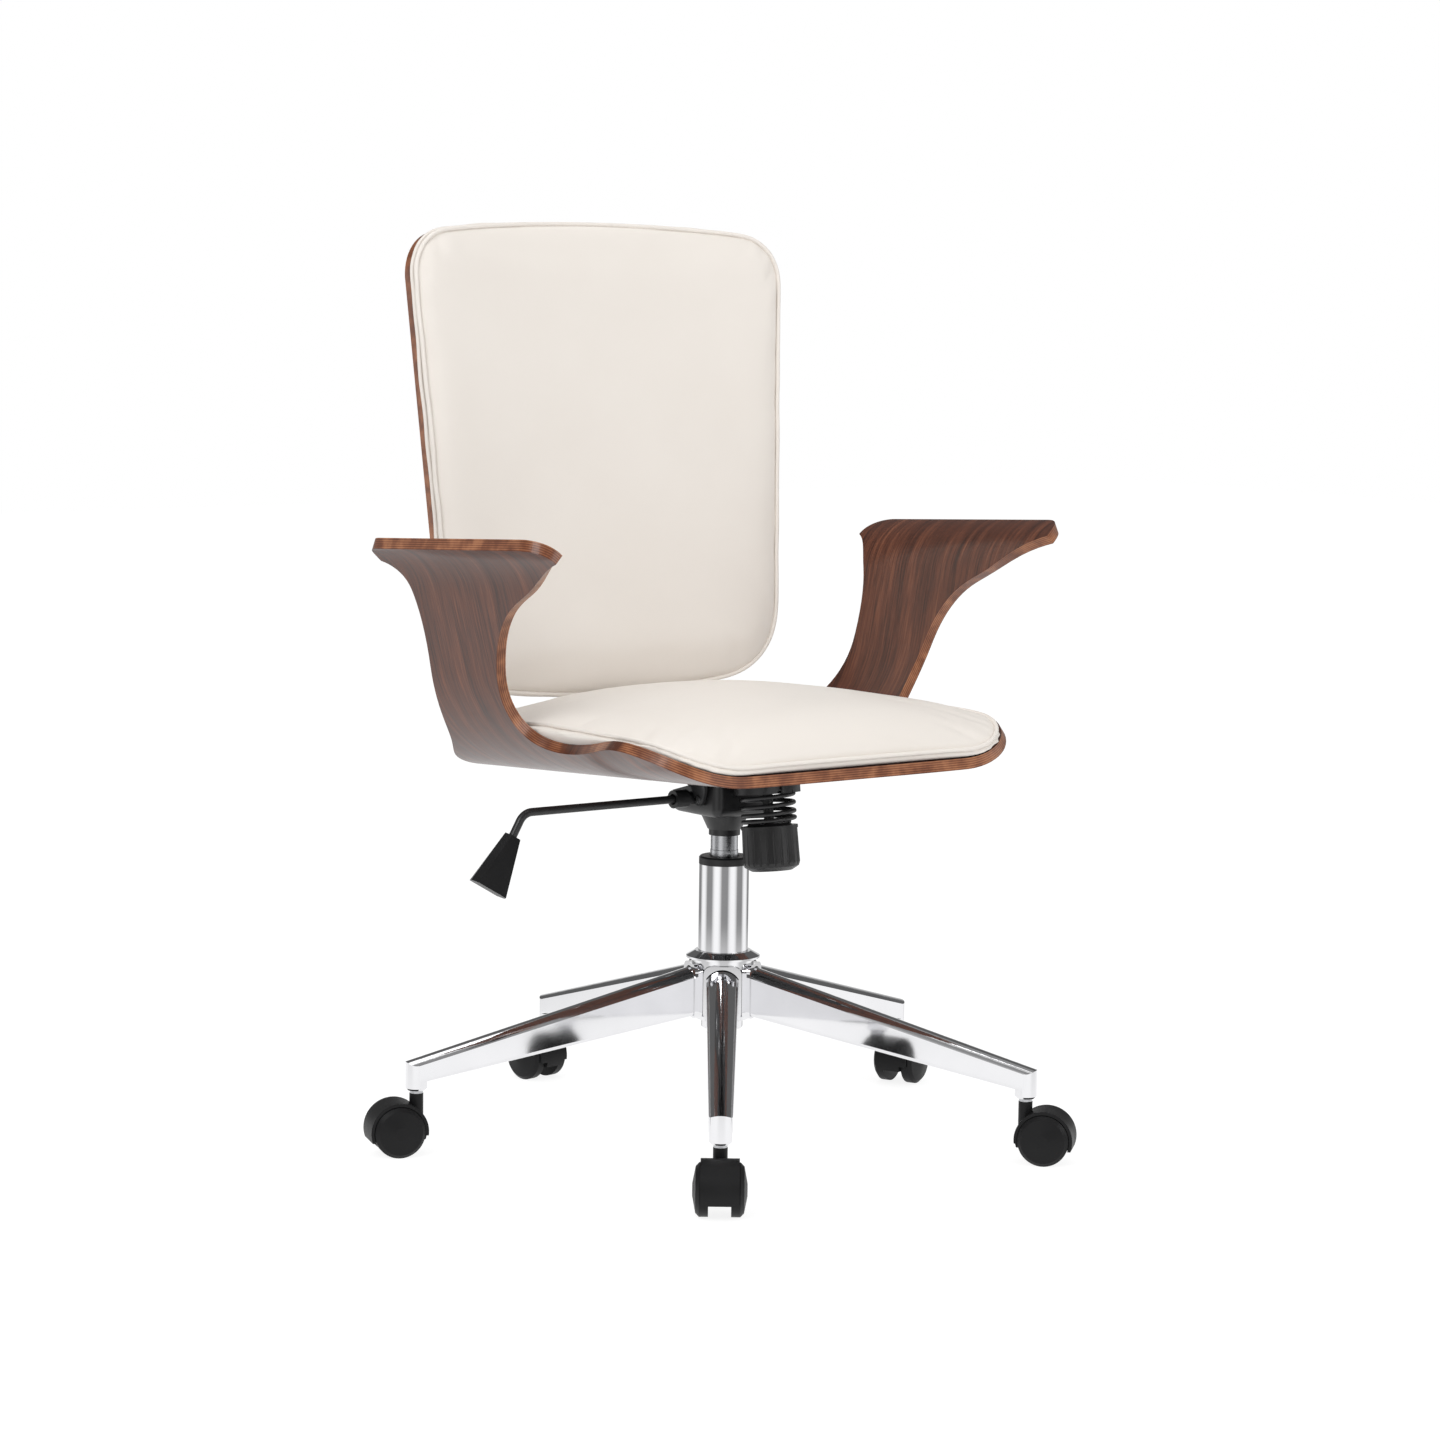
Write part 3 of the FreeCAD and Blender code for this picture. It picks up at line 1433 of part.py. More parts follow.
def seat_pad():
    """The seat cushion: a crowned pad that follows the plywood up the start of both bends."""
    flat, radius, ply, gap, band = values("seat_flat", "bend_radius", "ply", "soft_gap", "pad_band")
    half, crown, edge_share = values("pad_half_width", "pad_crown", "pad_edge_share")
    front, rear, front_corner, rear_corner = values(
        "pad_front_y", "pad_rear_y", "pad_front_corner", "pad_rear_corner"
    )
    base = ply / 2 + gap

    def over(along, height):
        """A place at a height above the plywood, at a distance along the bend."""
        if along <= flat:
            return Vector(along, 0, base + height)
        angle = (along - flat) / radius
        inner = radius - base - height
        return Vector(flat + inner * math.sin(angle), 0, radius - inner * math.cos(angle))

    def section(y, width, top):
        def mirrored(point):
            return Vector(-point.x, 0, point.z)

        low = [over(flat, 0), over((flat + width) / 2, 0), over(width, 0)]
        side = over(width, band)
        edges = [
            Part.LineSegment(mirrored(low[0]), low[0]).toShape(),
            Part.Arc(*low).toShape(),
            Part.LineSegment(low[2], side).toShape(),
            Part.Arc(side, Vector(0, 0, base + top), mirrored(side)).toShape(),
            Part.LineSegment(mirrored(side), mirrored(low[2])).toShape(),
            Part.Arc(*[mirrored(point) for point in reversed(low)]).toShape(),
        ]
        wire = Part.Wire(edges)
        wire.translate(Vector(0, y, 0))
        return wire

    stations = []
    for share in CORNER_STATION_SHARES:
        fullness = math.sqrt(1 - (1 - share) ** 2)
        stations.append((front + front_corner * share, fullness))
    for share in reversed(CORNER_STATION_SHARES):
        fullness = math.sqrt(1 - (1 - share) ** 2)
        stations.append((rear - rear_corner * share, fullness))
    narrow = flat + band
    sections = []
    for y, fullness in stations:
        width = narrow + (half - narrow) * fullness
        swell = (crown - (over(half, band).z - base)) * (edge_share + (1 - edge_share) * fullness)
        top = over(width, band).z - base + swell
        sections.append(section(y, width, top))
    piece = doc.addObject("Part::Feature", "seat_pad")
    piece.Label = "seat_pad"
    piece.Shape = Part.makeLoft(sections, True, False)
    SUB_PARTS.append(piece)
    place(piece, z="seat_z", rotation=seat_frame())


# Back. Its frame leans with the panel and starts at the rear face's lowest middle point.


def back_frame():
    return about_x(-value("back_lean"))


def back_outline(inset):
    """The back's outline seen from behind, drawn in by the inset."""
    low_half = f"(back_low_half_width - ({inset}))"
    high_half = f"(back_high_half_width - ({inset}))"
    low_corner = f"(back_low_corner - ({inset}))"
    high_corner = f"(back_high_corner - ({inset}))"
    low_z = f"(back_bottom_rise + ({inset}))"
    high_z = f"(back_height - back_top_fall - ({inset}))"
    return [
        (f"-({low_half} - {low_corner})", low_z, "back_bottom_radius"),
        (f"{low_half} - {low_corner}", low_z, low_corner),
        (low_half, f"{low_z} + {low_corner}"),
        (high_half, f"{high_z} - {high_corner}", high_corner),
        (f"{high_half} - {high_corner}", high_z, "back_top_radius"),
        (f"-({high_half} - {high_corner})", high_z, high_corner),
        (f"-{high_half}", f"{high_z} - {high_corner}"),
        (f"-{low_half}", f"{low_z} + {low_corner}", low_corner),
    ]


def curved_panel(label, rear, thickness, front_radius, inset):
    """A panel between two arcs about a leaning axis in front of it, trimmed to the back's outline."""
    body = new_body(label)
    half = f"(back_high_half_width - ({inset}) + overrun)"
    rear_radius = f"(back_curve_radius - ({rear}))"
    rear_edge = f"(-({rear}) - {rear_radius} + sqrt({rear_radius}^2 - {half}^2))"
    front = f"(-({rear}) - ({thickness}))"
    front_edge = f"({front} - ({front_radius}) + sqrt(({front_radius})^2 - {half}^2))"
    plan = new_sketch(body, "XY_Plane", f"({inset}) - overrun")
    draw(
        plan,
        [
            (f"-{half}", front_edge, f"-({front_radius})"),
            (half, front_edge),
            (half, rear_edge, rear_radius),
            (f"-{half}", rear_edge),
        ],
    )
    pad(body, plan, f"back_height - 2 * ({inset}) + 2 * overrun")
    trim = new_sketch(body, "XZ_Plane", "-back_curve_radius / 2")
    draw(trim, back_outline(inset))
    frame_half = f"{half} + overrun"
    frame_low = f"({inset}) - 2 * overrun"
    frame_high = f"back_height - ({inset}) + 2 * overrun"
    draw(
        trim,
        [
            (f"-({frame_half})", frame_low),
            (frame_half, frame_low),
            (frame_half, frame_high),
            (f"-({frame_half})", frame_high),
        ],
    )
    pocket(body, trim, "back_curve_radius", reverse=True)
    return body


BACK_SCREWS = [("0", "back_screw_low"), ("0", "back_screw_high")]


def back_shell():
    body = curved_panel("back_shell", "0", "ply", "back_curve_radius - ply", "0")
    holes = new_sketch(body, "XZ_Plane")
    for x, z in BACK_SCREWS:
        draw_circle(holes, x, z, "screw_radius + fit_gap")
    pocket(body, holes, "2 * (ply + overrun)", both_ways=True)
    place(body, y="back_y", z="back_bottom_z", rotation=back_frame())


def back_pad():
    rear = "ply + soft_gap"
    half = "(back_high_half_width + back_pad_overhang)"
    sag = f"({half}^2 / (2 * back_curve_radius) - back_pad_thickness + back_pad_edge)"
    flatter = f"({half}^2 / (2 * {sag}))"
    body = curved_panel("back_pad", rear, "back_pad_thickness", flatter, "-back_pad_overhang")
    depth = value(f"{rear} + back_pad_edge / 2")
    wide = value("back_low_half_width - back_low_corner")
    bow = value("back_curve_radius")

    def on_front(edge):
        return all(
            vertex.Y < -depth - abs(vertex.X) ** 2 / (2 * bow) for vertex in edge.Vertexes
        ) and edge.Length > wide / 10

    soften(body, "back_pad_round", on_front)
    place(body, y="back_y", z="back_bottom_z", rotation=back_frame())


def back_bracket():
    """A flat steel bar bolted under the seat that turns up behind the back."""
    body = new_body("back_bracket")
    low_slope, up_slope = "tan(seat_pitch)", "tan(back_lean)"

    def under_seat(y, lower):
        level = f"seat_z - (ply / 2 + seat_gap + {lower}) / cos(seat_pitch)"
        return f"{level} - ({y}) * {low_slope}"

    def behind_back(z, further):
        return f"back_y + (seat_gap + {further}) / cos(back_lean) + (({z}) - back_bottom_z) * {up_slope}"

    corner_y = f"(back_y - (back_bottom_z - seat_z) * {up_slope})"
    inner_z = under_seat(corner_y, "0")
    outer_z = under_seat(corner_y, "bar_thickness")
    outer_corner = f"({behind_back(outer_z, 'bar_thickness')})"
    inner = "bar_bend_radius"
    outer = "(bar_bend_radius + bar_thickness)"
    side = new_sketch(body, "YZ_Plane")
    draw(
        side,
        [
            ("bar_start_y", under_seat("bar_start_y", "bar_thickness")),
            (f"{outer_corner} - {outer}", under_seat(f"{outer_corner} - {outer}", "bar_thickness"), outer),
            (behind_back(f"{outer_z} + {outer}", "bar_thickness"), f"{outer_z} + {outer}"),
            (behind_back("bar_top_z", "bar_thickness"), "bar_top_z"),
            (behind_back("bar_top_z", "0"), "bar_top_z"),
            (behind_back(f"{inner_z} + {inner}", "0"), f"{inner_z} + {inner}", f"-{inner}"),
            (f"{corner_y} - {inner}", under_seat(f"{corner_y} - {inner}", "0")),
            ("bar_start_y", under_seat("bar_start_y", "0")),
        ],
    )
    pad(body, side, "2 * bar_half_width", both_ways=True)
    for rotation, base, plane, places in (
        ("-seat_pitch", ("0", "seat_z"), "XY_Plane", BAR_SCREWS),
        ("-back_lean", ("back_y", "back_bottom_z"), "XZ_Plane", BACK_SCREWS),
    ):
        holes = new_sketch(body, plane, "0", (Vector(1, 0, 0), rotation))
        if plane == "XY_Plane":
            holes.setExpression("AttachmentOffset.Base.y", bound(base[0]))
            holes.setExpression("AttachmentOffset.Base.z", bound(base[1]))
        else:
            holes.setExpression("AttachmentOffset.Base.y", bound(base[1]))
            holes.setExpression("AttachmentOffset.Base.z", bound("-" + base[0]))
        for x, y in places:
            draw_circle(holes, x, y, "screw_radius + fit_gap")
        pocket(body, holes, "4 * (ply + bar_thickness)", both_ways=True)
    place(body)


# The chair

first_angle = value("first_leg_angle")
leg_step = 360 / value("leg_count")
star_hub()
for index in range(int(value("leg_count"))):
    leg(index + 1, first_angle + leg_step * index)
column()
for index, trail in enumerate(CASTER_TRAIL_ANGLES):
    caster(index + 1, first_angle + leg_step * index, trail - 90)
tilt_housing()
tilt_axle()
seat_plate()
tension_bolt()
tension_spring()
spring_cup()
tension_knob()
lever_sleeve()
lever_ball()
lever_rod()
lever_grip()
seat_shell()
seat_pad()
back_shell()
back_pad()
back_bracket()
seat_base = ("0", "0", "seat_z")
screws("seat_bolts", PLATE_SCREWS, PLATE_LOW, "ply / 2", seat_base, seat_frame())
screws("pad_screws", PAD_SCREWS, "-ply / 2 - seat_gap", "ply / 2", seat_base, seat_frame())
bar_low = "-ply / 2 - seat_gap - bar_thickness"
screws("bar_screws", BAR_SCREWS, bar_low, "ply / 2", seat_base, seat_frame())
back_base = ("0", "back_y", "back_bottom_z")
upright = about_x(90 - value("back_lean"))
screws("back_screws", BACK_SCREWS, "-seat_gap - bar_thickness", "ply", back_base, upright)

doc.recompute()

failed = [item.Label for item in doc.Objects if "Invalid" in item.State or "Error" in item.State]
empty = [piece.Label for piece in SUB_PARTS if piece.Shape.isNull() or not piece.Shape.isValid()]
if failed or empty:
    raise SystemExit(f"failed objects: {failed}, shapes not valid: {empty}")
os.makedirs("parts", exist_ok=True)
for piece in SUB_PARTS:
    piece.Shape.exportStep(f"parts/{piece.Label}.step")
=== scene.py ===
import json
import math

import bpy
import numpy
from mathutils import Matrix, Vector, bvhtree, kdtree


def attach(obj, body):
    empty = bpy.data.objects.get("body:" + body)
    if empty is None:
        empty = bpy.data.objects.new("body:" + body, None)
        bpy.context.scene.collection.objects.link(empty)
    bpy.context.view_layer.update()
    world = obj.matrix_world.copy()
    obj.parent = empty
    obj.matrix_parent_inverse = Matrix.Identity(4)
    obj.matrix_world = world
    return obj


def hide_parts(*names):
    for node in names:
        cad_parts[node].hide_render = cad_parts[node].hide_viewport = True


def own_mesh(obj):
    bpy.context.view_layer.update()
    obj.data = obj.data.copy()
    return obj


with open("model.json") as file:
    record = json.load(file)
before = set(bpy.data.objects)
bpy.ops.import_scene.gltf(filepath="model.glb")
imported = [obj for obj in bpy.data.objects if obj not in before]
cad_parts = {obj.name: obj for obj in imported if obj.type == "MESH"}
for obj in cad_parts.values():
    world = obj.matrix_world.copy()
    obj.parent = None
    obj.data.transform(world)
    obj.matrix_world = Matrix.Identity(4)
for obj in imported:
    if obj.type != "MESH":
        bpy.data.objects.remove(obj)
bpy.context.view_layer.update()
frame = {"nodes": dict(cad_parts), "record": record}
NODES = frame["nodes"]

# Real sizes that the cushions and the wood share with the solids

COLUMN_Y = -0.029
PLY = 0.011
SOFT_GAP = 0.0003

SEAT_ORIGIN = (0.0, COLUMN_Y, 0.3783)
SEAT_PITCH = math.radians(3.2)
SEAT_FLAT = 0.1328
BEND_RADIUS = 0.1353
BEND_ANGLE = math.radians(77.1)
ARM_STRAIGHT = 0.078
ARM_BEND_RADIUS = 0.060

PAD_HALF = 0.226
PAD_FRONT_Y = -0.209
PAD_REAR_Y = 0.196
PAD_FRONT_CORNER = 0.084
PAD_REAR_CORNER = 0.052
PAD_BAND = 0.009

BACK_ORIGIN = (0.0, COLUMN_Y + 0.2215, 0.425)
BACK_LEAN = math.radians(5.9)
BACK_RADIUS = 0.9
BACK_HEIGHT = 0.481
BACK_LOW_HALF = 0.206
BACK_HIGH_HALF = 0.2275
BACK_LOW_CORNER = 0.072
BACK_HIGH_CORNER = 0.047
BACK_BOTTOM_RISE = 0.009
BACK_TOP_FALL = 0.009
BACK_PAD_OVERHANG = 0.005

# Camera, solved from the photograph: angles in radians, lens and sensor in millimetres

CAMERA_PLACE = (-2.2724, -3.0184, 0.859)
CAMERA_HEADING = 0.6484
CAMERA_DOWN = 0.1166
CAMERA_ROLL = 0.0133
CAMERA_LENS = 95.4
CAMERA_SENSOR = 36.0


def paint(red, green, blue):
    """A colour given as 0 to 255 in sRGB, as the linear colour that nodes take."""

    def linear(channel):
        share = channel / 255
        return share / 12.92 if share <= 0.04045 else ((share + 0.055) / 1.055) ** 2.4

    return (linear(red), linear(green), linear(blue), 1.0)


# Nodes


def add(tree, kind, inputs=None, **settings):
    """Adds a node, sets its properties, and sets or links its inputs."""
    node = tree.nodes.new(kind)
    for name, value in settings.items():
        setattr(node, name, value)
    for key, value in (inputs or {}).items():
        if isinstance(value, bpy.types.NodeSocket):
            tree.links.new(value, node.inputs[key])
        else:
            node.inputs[key].default_value = value
    return node


def calc(tree, operation, *values):
    """The result of a maths node."""
    return add(tree, "ShaderNodeMath", dict(enumerate(values)), operation=operation).outputs[0]


def object_place(tree):
    return add(tree, "ShaderNodeTexCoord").outputs["Object"]


def separated(tree, vector):
    """A vector's X, Y and Z."""
    return add(tree, "ShaderNodeSeparateXYZ", {"Vector": vector}).outputs


def leaning(tree, origin, lean):
    """The place as a vector, and the parts of the place and the normal, in a frame leaning about X."""
    source = add(tree, "ShaderNodeTexCoord")
    place_inputs = {"Vector": source.outputs["Object"], "Location": origin, "Rotation": (-lean, 0, 0)}
    place = add(tree, "ShaderNodeMapping", place_inputs, vector_type="TEXTURE").outputs[0]
    normal_inputs = {"Vector": source.outputs["Normal"], "Rotation": (lean, 0, 0)}
    normal = add(tree, "ShaderNodeMapping", normal_inputs, vector_type="VECTOR").outputs[0]
    return place, separated(tree, place), separated(tree, normal)


def noise(tree, vector, scale, detail=4.0, roughness=0.5, distortion=0.0):
    inputs = {
        "Vector": vector,
        "Scale": scale,
        "Detail": detail,
        "Roughness": roughness,
        "Distortion": distortion,
    }
    return add(tree, "ShaderNodeTexNoise", inputs).outputs[0]


def spread(tree, value, low, high, to_low, to_high):
    """Maps a value from one range to another, clamped."""
    inputs = {"Value": value, "From Min": low, "From Max": high, "To Min": to_low, "To Max": to_high}
    return add(tree, "ShaderNodeMapRange", inputs).outputs[0]


def ramp(tree, value, stops):
    """A colour ramp through (place, colour) stops."""
    node = add(tree, "ShaderNodeValToRGB", {"Fac": value})
    points = node.color_ramp.elements
    while len(points) < len(stops):
        points.new(0.5)
    for point, (place, colour) in zip(points, stops):
        point.position = place
        point.color = colour
    return node.outputs[0]


def mix_value(tree, share, first, second):
    """A value between two others. The mix node's sockets 0, 2 and 3 are its share and its two values."""
    return add(tree, "ShaderNodeMix", {0: share, 2: first, 3: second}).outputs[0]


def mix_colour(tree, share, first, second):
    """A colour between two others. The mix node's sockets 0, 6 and 7 are its share and its two colours."""
    return add(tree, "ShaderNodeMix", {0: share, 6: first, 7: second}, data_type="RGBA").outputs[2]


def stretched(tree, vector, scale):
    return add(tree, "ShaderNodeMapping", {"Vector": vector, "Scale": scale}).outputs[0]


def bump(tree, height, distance, strength):
    inputs = {"Height": height, "Distance": distance, "Strength": strength}
    return add(tree, "ShaderNodeBump", inputs).outputs[0]


def material(name):
    """An empty node material with its tree."""
    made = bpy.data.materials.new(name)
    made.use_nodes = True
    made.node_tree.nodes.clear()
    return made, made.node_tree


def finish_surface(tree, inputs):
    surface = add(tree, "ShaderNodeBsdfPrincipled", inputs)
    add(tree, "ShaderNodeOutputMaterial", {"Surface": surface.outputs[0]})


# Metals and plastics


def polished_chrome():
    """Chrome plate with a faint haze, over a casting that is not quite even."""
    made, tree = material("polished_chrome")
    place = object_place(tree)
    haze = noise(tree, place, scale=22.0, detail=5.0)
    wave = noise(tree, place, scale=9.0, detail=1.0)
    finish_surface(
        tree,
        {
            "Base Color": mix_colour(tree, haze, paint(226, 226, 228), paint(238, 238, 240)),
            "Metallic": 1.0,
            "Roughness": spread(tree, haze, 0.3, 0.8, 0.045, 0.11),
            "Normal": bump(tree, wave, distance=0.0006, strength=0.35),
        },
    )
    return made


def ground_steel():
    """Bare steel with the fine rings that grinding leaves round it."""
    made, tree = material("ground_steel")
    rings = noise(tree, stretched(tree, object_place(tree), (1.0, 1.0, 90.0)), scale=30.0, detail=6.0)
    finish_surface(
        tree,
        {
            "Base Color": mix_colour(tree, rings, paint(176, 177, 180), paint(202, 203, 206)),
            "Metallic": 1.0,
            "Roughness": spread(tree, rings, 0.25, 0.75, 0.2, 0.34),
            "Normal": bump(tree, rings, distance=0.0001, strength=0.5),
        },
    )
    return made


def bright_screw_steel():
    """Zinc-plated steel with fine specks."""
    made, tree = material("bright_screw_steel")
    specks = noise(tree, object_place(tree), scale=700.0, detail=3.0)
    finish_surface(
        tree,
        {
            "Base Color": mix_colour(tree, specks, paint(196, 196, 198), paint(226, 226, 226)),
            "Metallic": 1.0,
            "Roughness": spread(tree, specks, 0.3, 0.7, 0.12, 0.26),
        },
    )
    return made


def moulded_plastic(name, dark, light, low_rough, high_rough, grain, gloss):
    """Black moulded plastic with a fine spark-eroded grain and slightly rubbed places."""
    made, tree = material(name)
    place = object_place(tree)
    pits = noise(tree, place, scale=grain, detail=2.0, roughness=0.6)
    rubbed = noise(tree, place, scale=35.0, detail=5.0)
    finish_surface(
        tree,
        {
            "Base Color": mix_colour(tree, rubbed, dark, light),
            "Roughness": spread(tree, rubbed, 0.3, 0.7, low_rough, high_rough),
            "Specular IOR Level": gloss,
            "Normal": bump(tree, pits, distance=0.00012, strength=0.6),
        },
    )
    return made


def powder_coat():
    """Black powder coating with its fine orange peel."""
    made, tree = material("black_powder_coat")
    place = object_place(tree)
    peel = noise(tree, place, scale=900.0, detail=3.0, roughness=0.55)
    dust = noise(tree, place, scale=60.0, detail=5.0)
    finish_surface(
        tree,
        {
            "Base Color": mix_colour(tree, dust, paint(32, 32, 33), paint(46, 46, 47)),
            "Roughness": spread(tree, dust, 0.3, 0.7, 0.3, 0.42),
            "Normal": bump(tree, peel, distance=0.00015, strength=0.5),
        },
    )
    return made


# Walnut plywood

PLY_STRIPES = 5
SEAT_GRAIN = (0.05, 1.0, 0.05)
BACK_GRAIN = (1.0, 1.0, 0.05)

# The end faces of the arms lie at least this far out
TIP_START = 0.3203


def from_axis(tree, first, second, first_centre, second_centre):
    """Distance from an axis, worked out in the two directions that cross it."""
    squares = []
    for value, centre in ((first, first_centre), (second, second_centre)):
        squares.append(calc(tree, "POWER", calc(tree, "SUBTRACT", value, centre), 2.0))
    return calc(tree, "SQRT", calc(tree, "ADD", *squares))


def seat_sheet_depth(tree, place):
    """Distance from the middle of the bent seat sheet, worked out along its profile."""
    x = calc(tree, "ABSOLUTE", place["X"])
    z = place["Z"]
    past_flat = calc(tree, "MAXIMUM", calc(tree, "SUBTRACT", x, SEAT_FLAT), 0.0)
    bend_depth = calc(tree, "SUBTRACT", BEND_RADIUS, from_axis(tree, past_flat, z, 0.0, BEND_RADIUS))

    cosine, sine = math.cos(BEND_ANGLE), math.sin(BEND_ANGLE)
    arm_x = SEAT_FLAT + BEND_RADIUS * sine
    arm_z = BEND_RADIUS * (1 - cosine)
    across_x = calc(tree, "SUBTRACT", x, arm_x)
    across_z = calc(tree, "SUBTRACT", z, arm_z)
    along = calc(
        tree, "ADD", calc(tree, "MULTIPLY", across_x, cosine), calc(tree, "MULTIPLY", across_z, sine)
    )
    arm_depth = calc(
        tree, "SUBTRACT", calc(tree, "MULTIPLY", across_z, cosine), calc(tree, "MULTIPLY", across_x, sine)
    )

    curl_x = arm_x + ARM_STRAIGHT * cosine + ARM_BEND_RADIUS * sine
    curl_z = arm_z + ARM_STRAIGHT * sine - ARM_BEND_RADIUS * cosine
    curl_depth = calc(tree, "SUBTRACT", from_axis(tree, x, z, curl_x, curl_z), ARM_BEND_RADIUS)

    in_arm = calc(tree, "GREATER_THAN", along, 0.0)
    in_curl = calc(tree, "GREATER_THAN", along, ARM_STRAIGHT)
    return mix_value(tree, in_curl, mix_value(tree, in_arm, bend_depth, arm_depth), curl_depth)


def back_sheet_depth(tree, place):
    """Distance into the curved back sheet from its rear face."""
    return calc(tree, "SUBTRACT", BACK_RADIUS, from_axis(tree, place["X"], place["Y"], 0.0, -BACK_RADIUS))


def seat_edge(tree, place, normal):
    """Where the bent sheet's edge shows: faces turned to Y, and the ends of the arms."""
    to_y = spread(tree, calc(tree, "ABSOLUTE", normal["Y"]), 0.1, 0.2, 0.0, 1.0)
    to_x = calc(tree, "GREATER_THAN", calc(tree, "ABSOLUTE", normal["X"]), 0.8)
    at_tip = calc(tree, "GREATER_THAN", calc(tree, "ABSOLUTE", place["X"]), TIP_START)
    return calc(tree, "MAXIMUM", to_y, calc(tree, "MULTIPLY", to_x, at_tip))


def back_edge(tree, place, normal):
    """Where the back sheet's edge shows: faces turned up, down or sideways."""
    to_x = spread(tree, calc(tree, "ABSOLUTE", normal["X"]), 0.4, 0.5, 0.0, 1.0)
    to_z = spread(tree, calc(tree, "ABSOLUTE", normal["Z"]), 0.15, 0.25, 0.0, 1.0)
    return calc(tree, "MAXIMUM", to_x, to_z)


def veneer(tree, grain, fibre):
    """The colour of the sheet's faces: figure, fibre and dark pores along the grain."""
    figure = noise(tree, grain, scale=105.0, detail=5.0, roughness=0.6, distortion=0.3)
    pores = noise(tree, grain, scale=900.0, detail=2.0)
    value = calc(tree, "ADD", calc(tree, "MULTIPLY", figure, 0.5), calc(tree, "MULTIPLY", fibre, 0.5))
    stops = [
        (0.36, paint(50, 26, 18)),
        (0.46, paint(78, 43, 30)),
        (0.54, paint(94, 53, 37)),
        (0.66, paint(122, 74, 52)),
    ]
    pore_mask = spread(tree, pores, 0.28, 0.4, 0.45, 0.0)
    return mix_colour(tree, pore_mask, ramp(tree, value, stops), paint(40, 22, 16))


def ply_edge(tree, vector, depth):
    """The colour of the sheet's edge: its plies as stripes through the thickness."""
    stripes = calc(tree, "SINE", calc(tree, "MULTIPLY", depth, 2 * math.pi * PLY_STRIPES / PLY))
    wander = noise(tree, vector, scale=60.0, detail=3.0)
    value = calc(tree, "ADD", calc(tree, "MULTIPLY", stripes, 0.16), wander)
    stops = [(0.3, paint(98, 55, 36)), (0.5, paint(132, 80, 53)), (0.75, paint(172, 116, 80))]
    return ramp(tree, value, stops)


def walnut(name, origin, lean, grain_scale, depth_of, edge_of):
    """Walnut veneer on both faces of a plywood sheet, with its plies on the edge."""
    made, tree = material(name)
    vector, place, normal = leaning(tree, origin, lean)
    grain = stretched(tree, vector, grain_scale)
    fibre = noise(tree, grain, scale=520.0, roughness=0.62)
    face = veneer(tree, grain, fibre)
    edge = ply_edge(tree, vector, depth_of(tree, place))
    finish_surface(
        tree,
        {
            "Base Color": mix_colour(tree, edge_of(tree, place, normal), face, edge),
            "Roughness": spread(tree, fibre, 0.3, 0.7, 0.32, 0.45),
            "Specular IOR Level": 0.3,
            "Coat Weight": 0.35,
            "Coat Roughness": 0.18,
            "Normal": bump(tree, fibre, distance=0.00012, strength=0.4),
        },
    )
    return made


# Cream coated fabric


def leatherette():
    """Cream coated fabric: a fine pebble, faint shading and a soft sheen."""
    made, tree = material("cream_leatherette")
    place = object_place(tree)
    pebble = add(tree, "ShaderNodeTexVoronoi", {"Vector": place, "Scale": 900.0}, feature="SMOOTH_F1")
    creases = noise(tree, place, scale=420.0, roughness=0.6)
    shade = noise(tree, place, scale=7.0, detail=3.0)
    height = calc(tree, "ADD", pebble.outputs["Distance"], creases)
    finish_surface(
        tree,
        {
            "Base Color": mix_colour(tree, shade, paint(229, 222, 214), paint(236, 230, 223)),
            "Roughness": spread(tree, creases, 0.3, 0.7, 0.42, 0.52),
            "Sheen Weight": 0.12,
            "Sheen Roughness": 0.5,
            "Normal": bump(tree, height, distance=0.00008, strength=0.5),
        },
    )
    return made


# Finishes of the solids

POWDER = powder_coat()
SCREW_STEEL = bright_screw_steel()
LEATHERETTE = leatherette()
CASTER_PLASTIC = moulded_plastic(
    "black_caster_nylon",
    dark=paint(17, 17, 18),
    light=paint(27, 27, 28),
    low_rough=0.42,
    high_rough=0.55,
    grain=1500.0,
    gloss=0.22,
)
KNOB_PLASTIC = moulded_plastic(
    "black_moulded_plastic",
    dark=paint(26, 26, 27),
    light=paint(38, 38, 39),
    low_rough=0.34,
    high_rough=0.46,
    grain=1100.0,
    gloss=0.45,
)
GRIP_PLASTIC = moulded_plastic(
    "black_grip_plastic",
    dark=paint(14, 14, 15),
    light=paint(24, 24, 25),
    low_rough=0.3,
    high_rough=0.42,
    grain=1300.0,
    gloss=0.2,
)

SLOT_FINISHES = {
    "chrome": polished_chrome(),
    "black_nylon": CASTER_PLASTIC,
    "steel": ground_steel(),
    "black_plastic": KNOB_PLASTIC,
    "black_metal": POWDER,
    "cream_leatherette": LEATHERETTE,
    "bright_screws": SCREW_STEEL,
}
NODE_FINISHES = {
    "tilt_axle": SCREW_STEEL,
    "lever_grip": GRIP_PLASTIC,
    "seat_shell": walnut(
        "walnut_seat", SEAT_ORIGIN, SEAT_PITCH, SEAT_GRAIN, seat_sheet_depth, seat_edge
    ),
    "back_shell": walnut(
        "walnut_back", BACK_ORIGIN, BACK_LEAN, BACK_GRAIN, back_sheet_depth, back_edge
    ),
}


def dress(piece, finish):
    piece.data.materials.clear()
    piece.data.materials.append(finish)


def dress_solids():
    """Gives every solid its own finish, or else that of its material slot."""
    for row in frame["record"]["subparts"]:
        node = row["node"]
        if node in NODE_FINISHES:
            dress(NODES[node], NODE_FINISHES[node])
        else:
            dress(NODES[node], SLOT_FINISHES[row["material_slot"]])


# Mesh tools


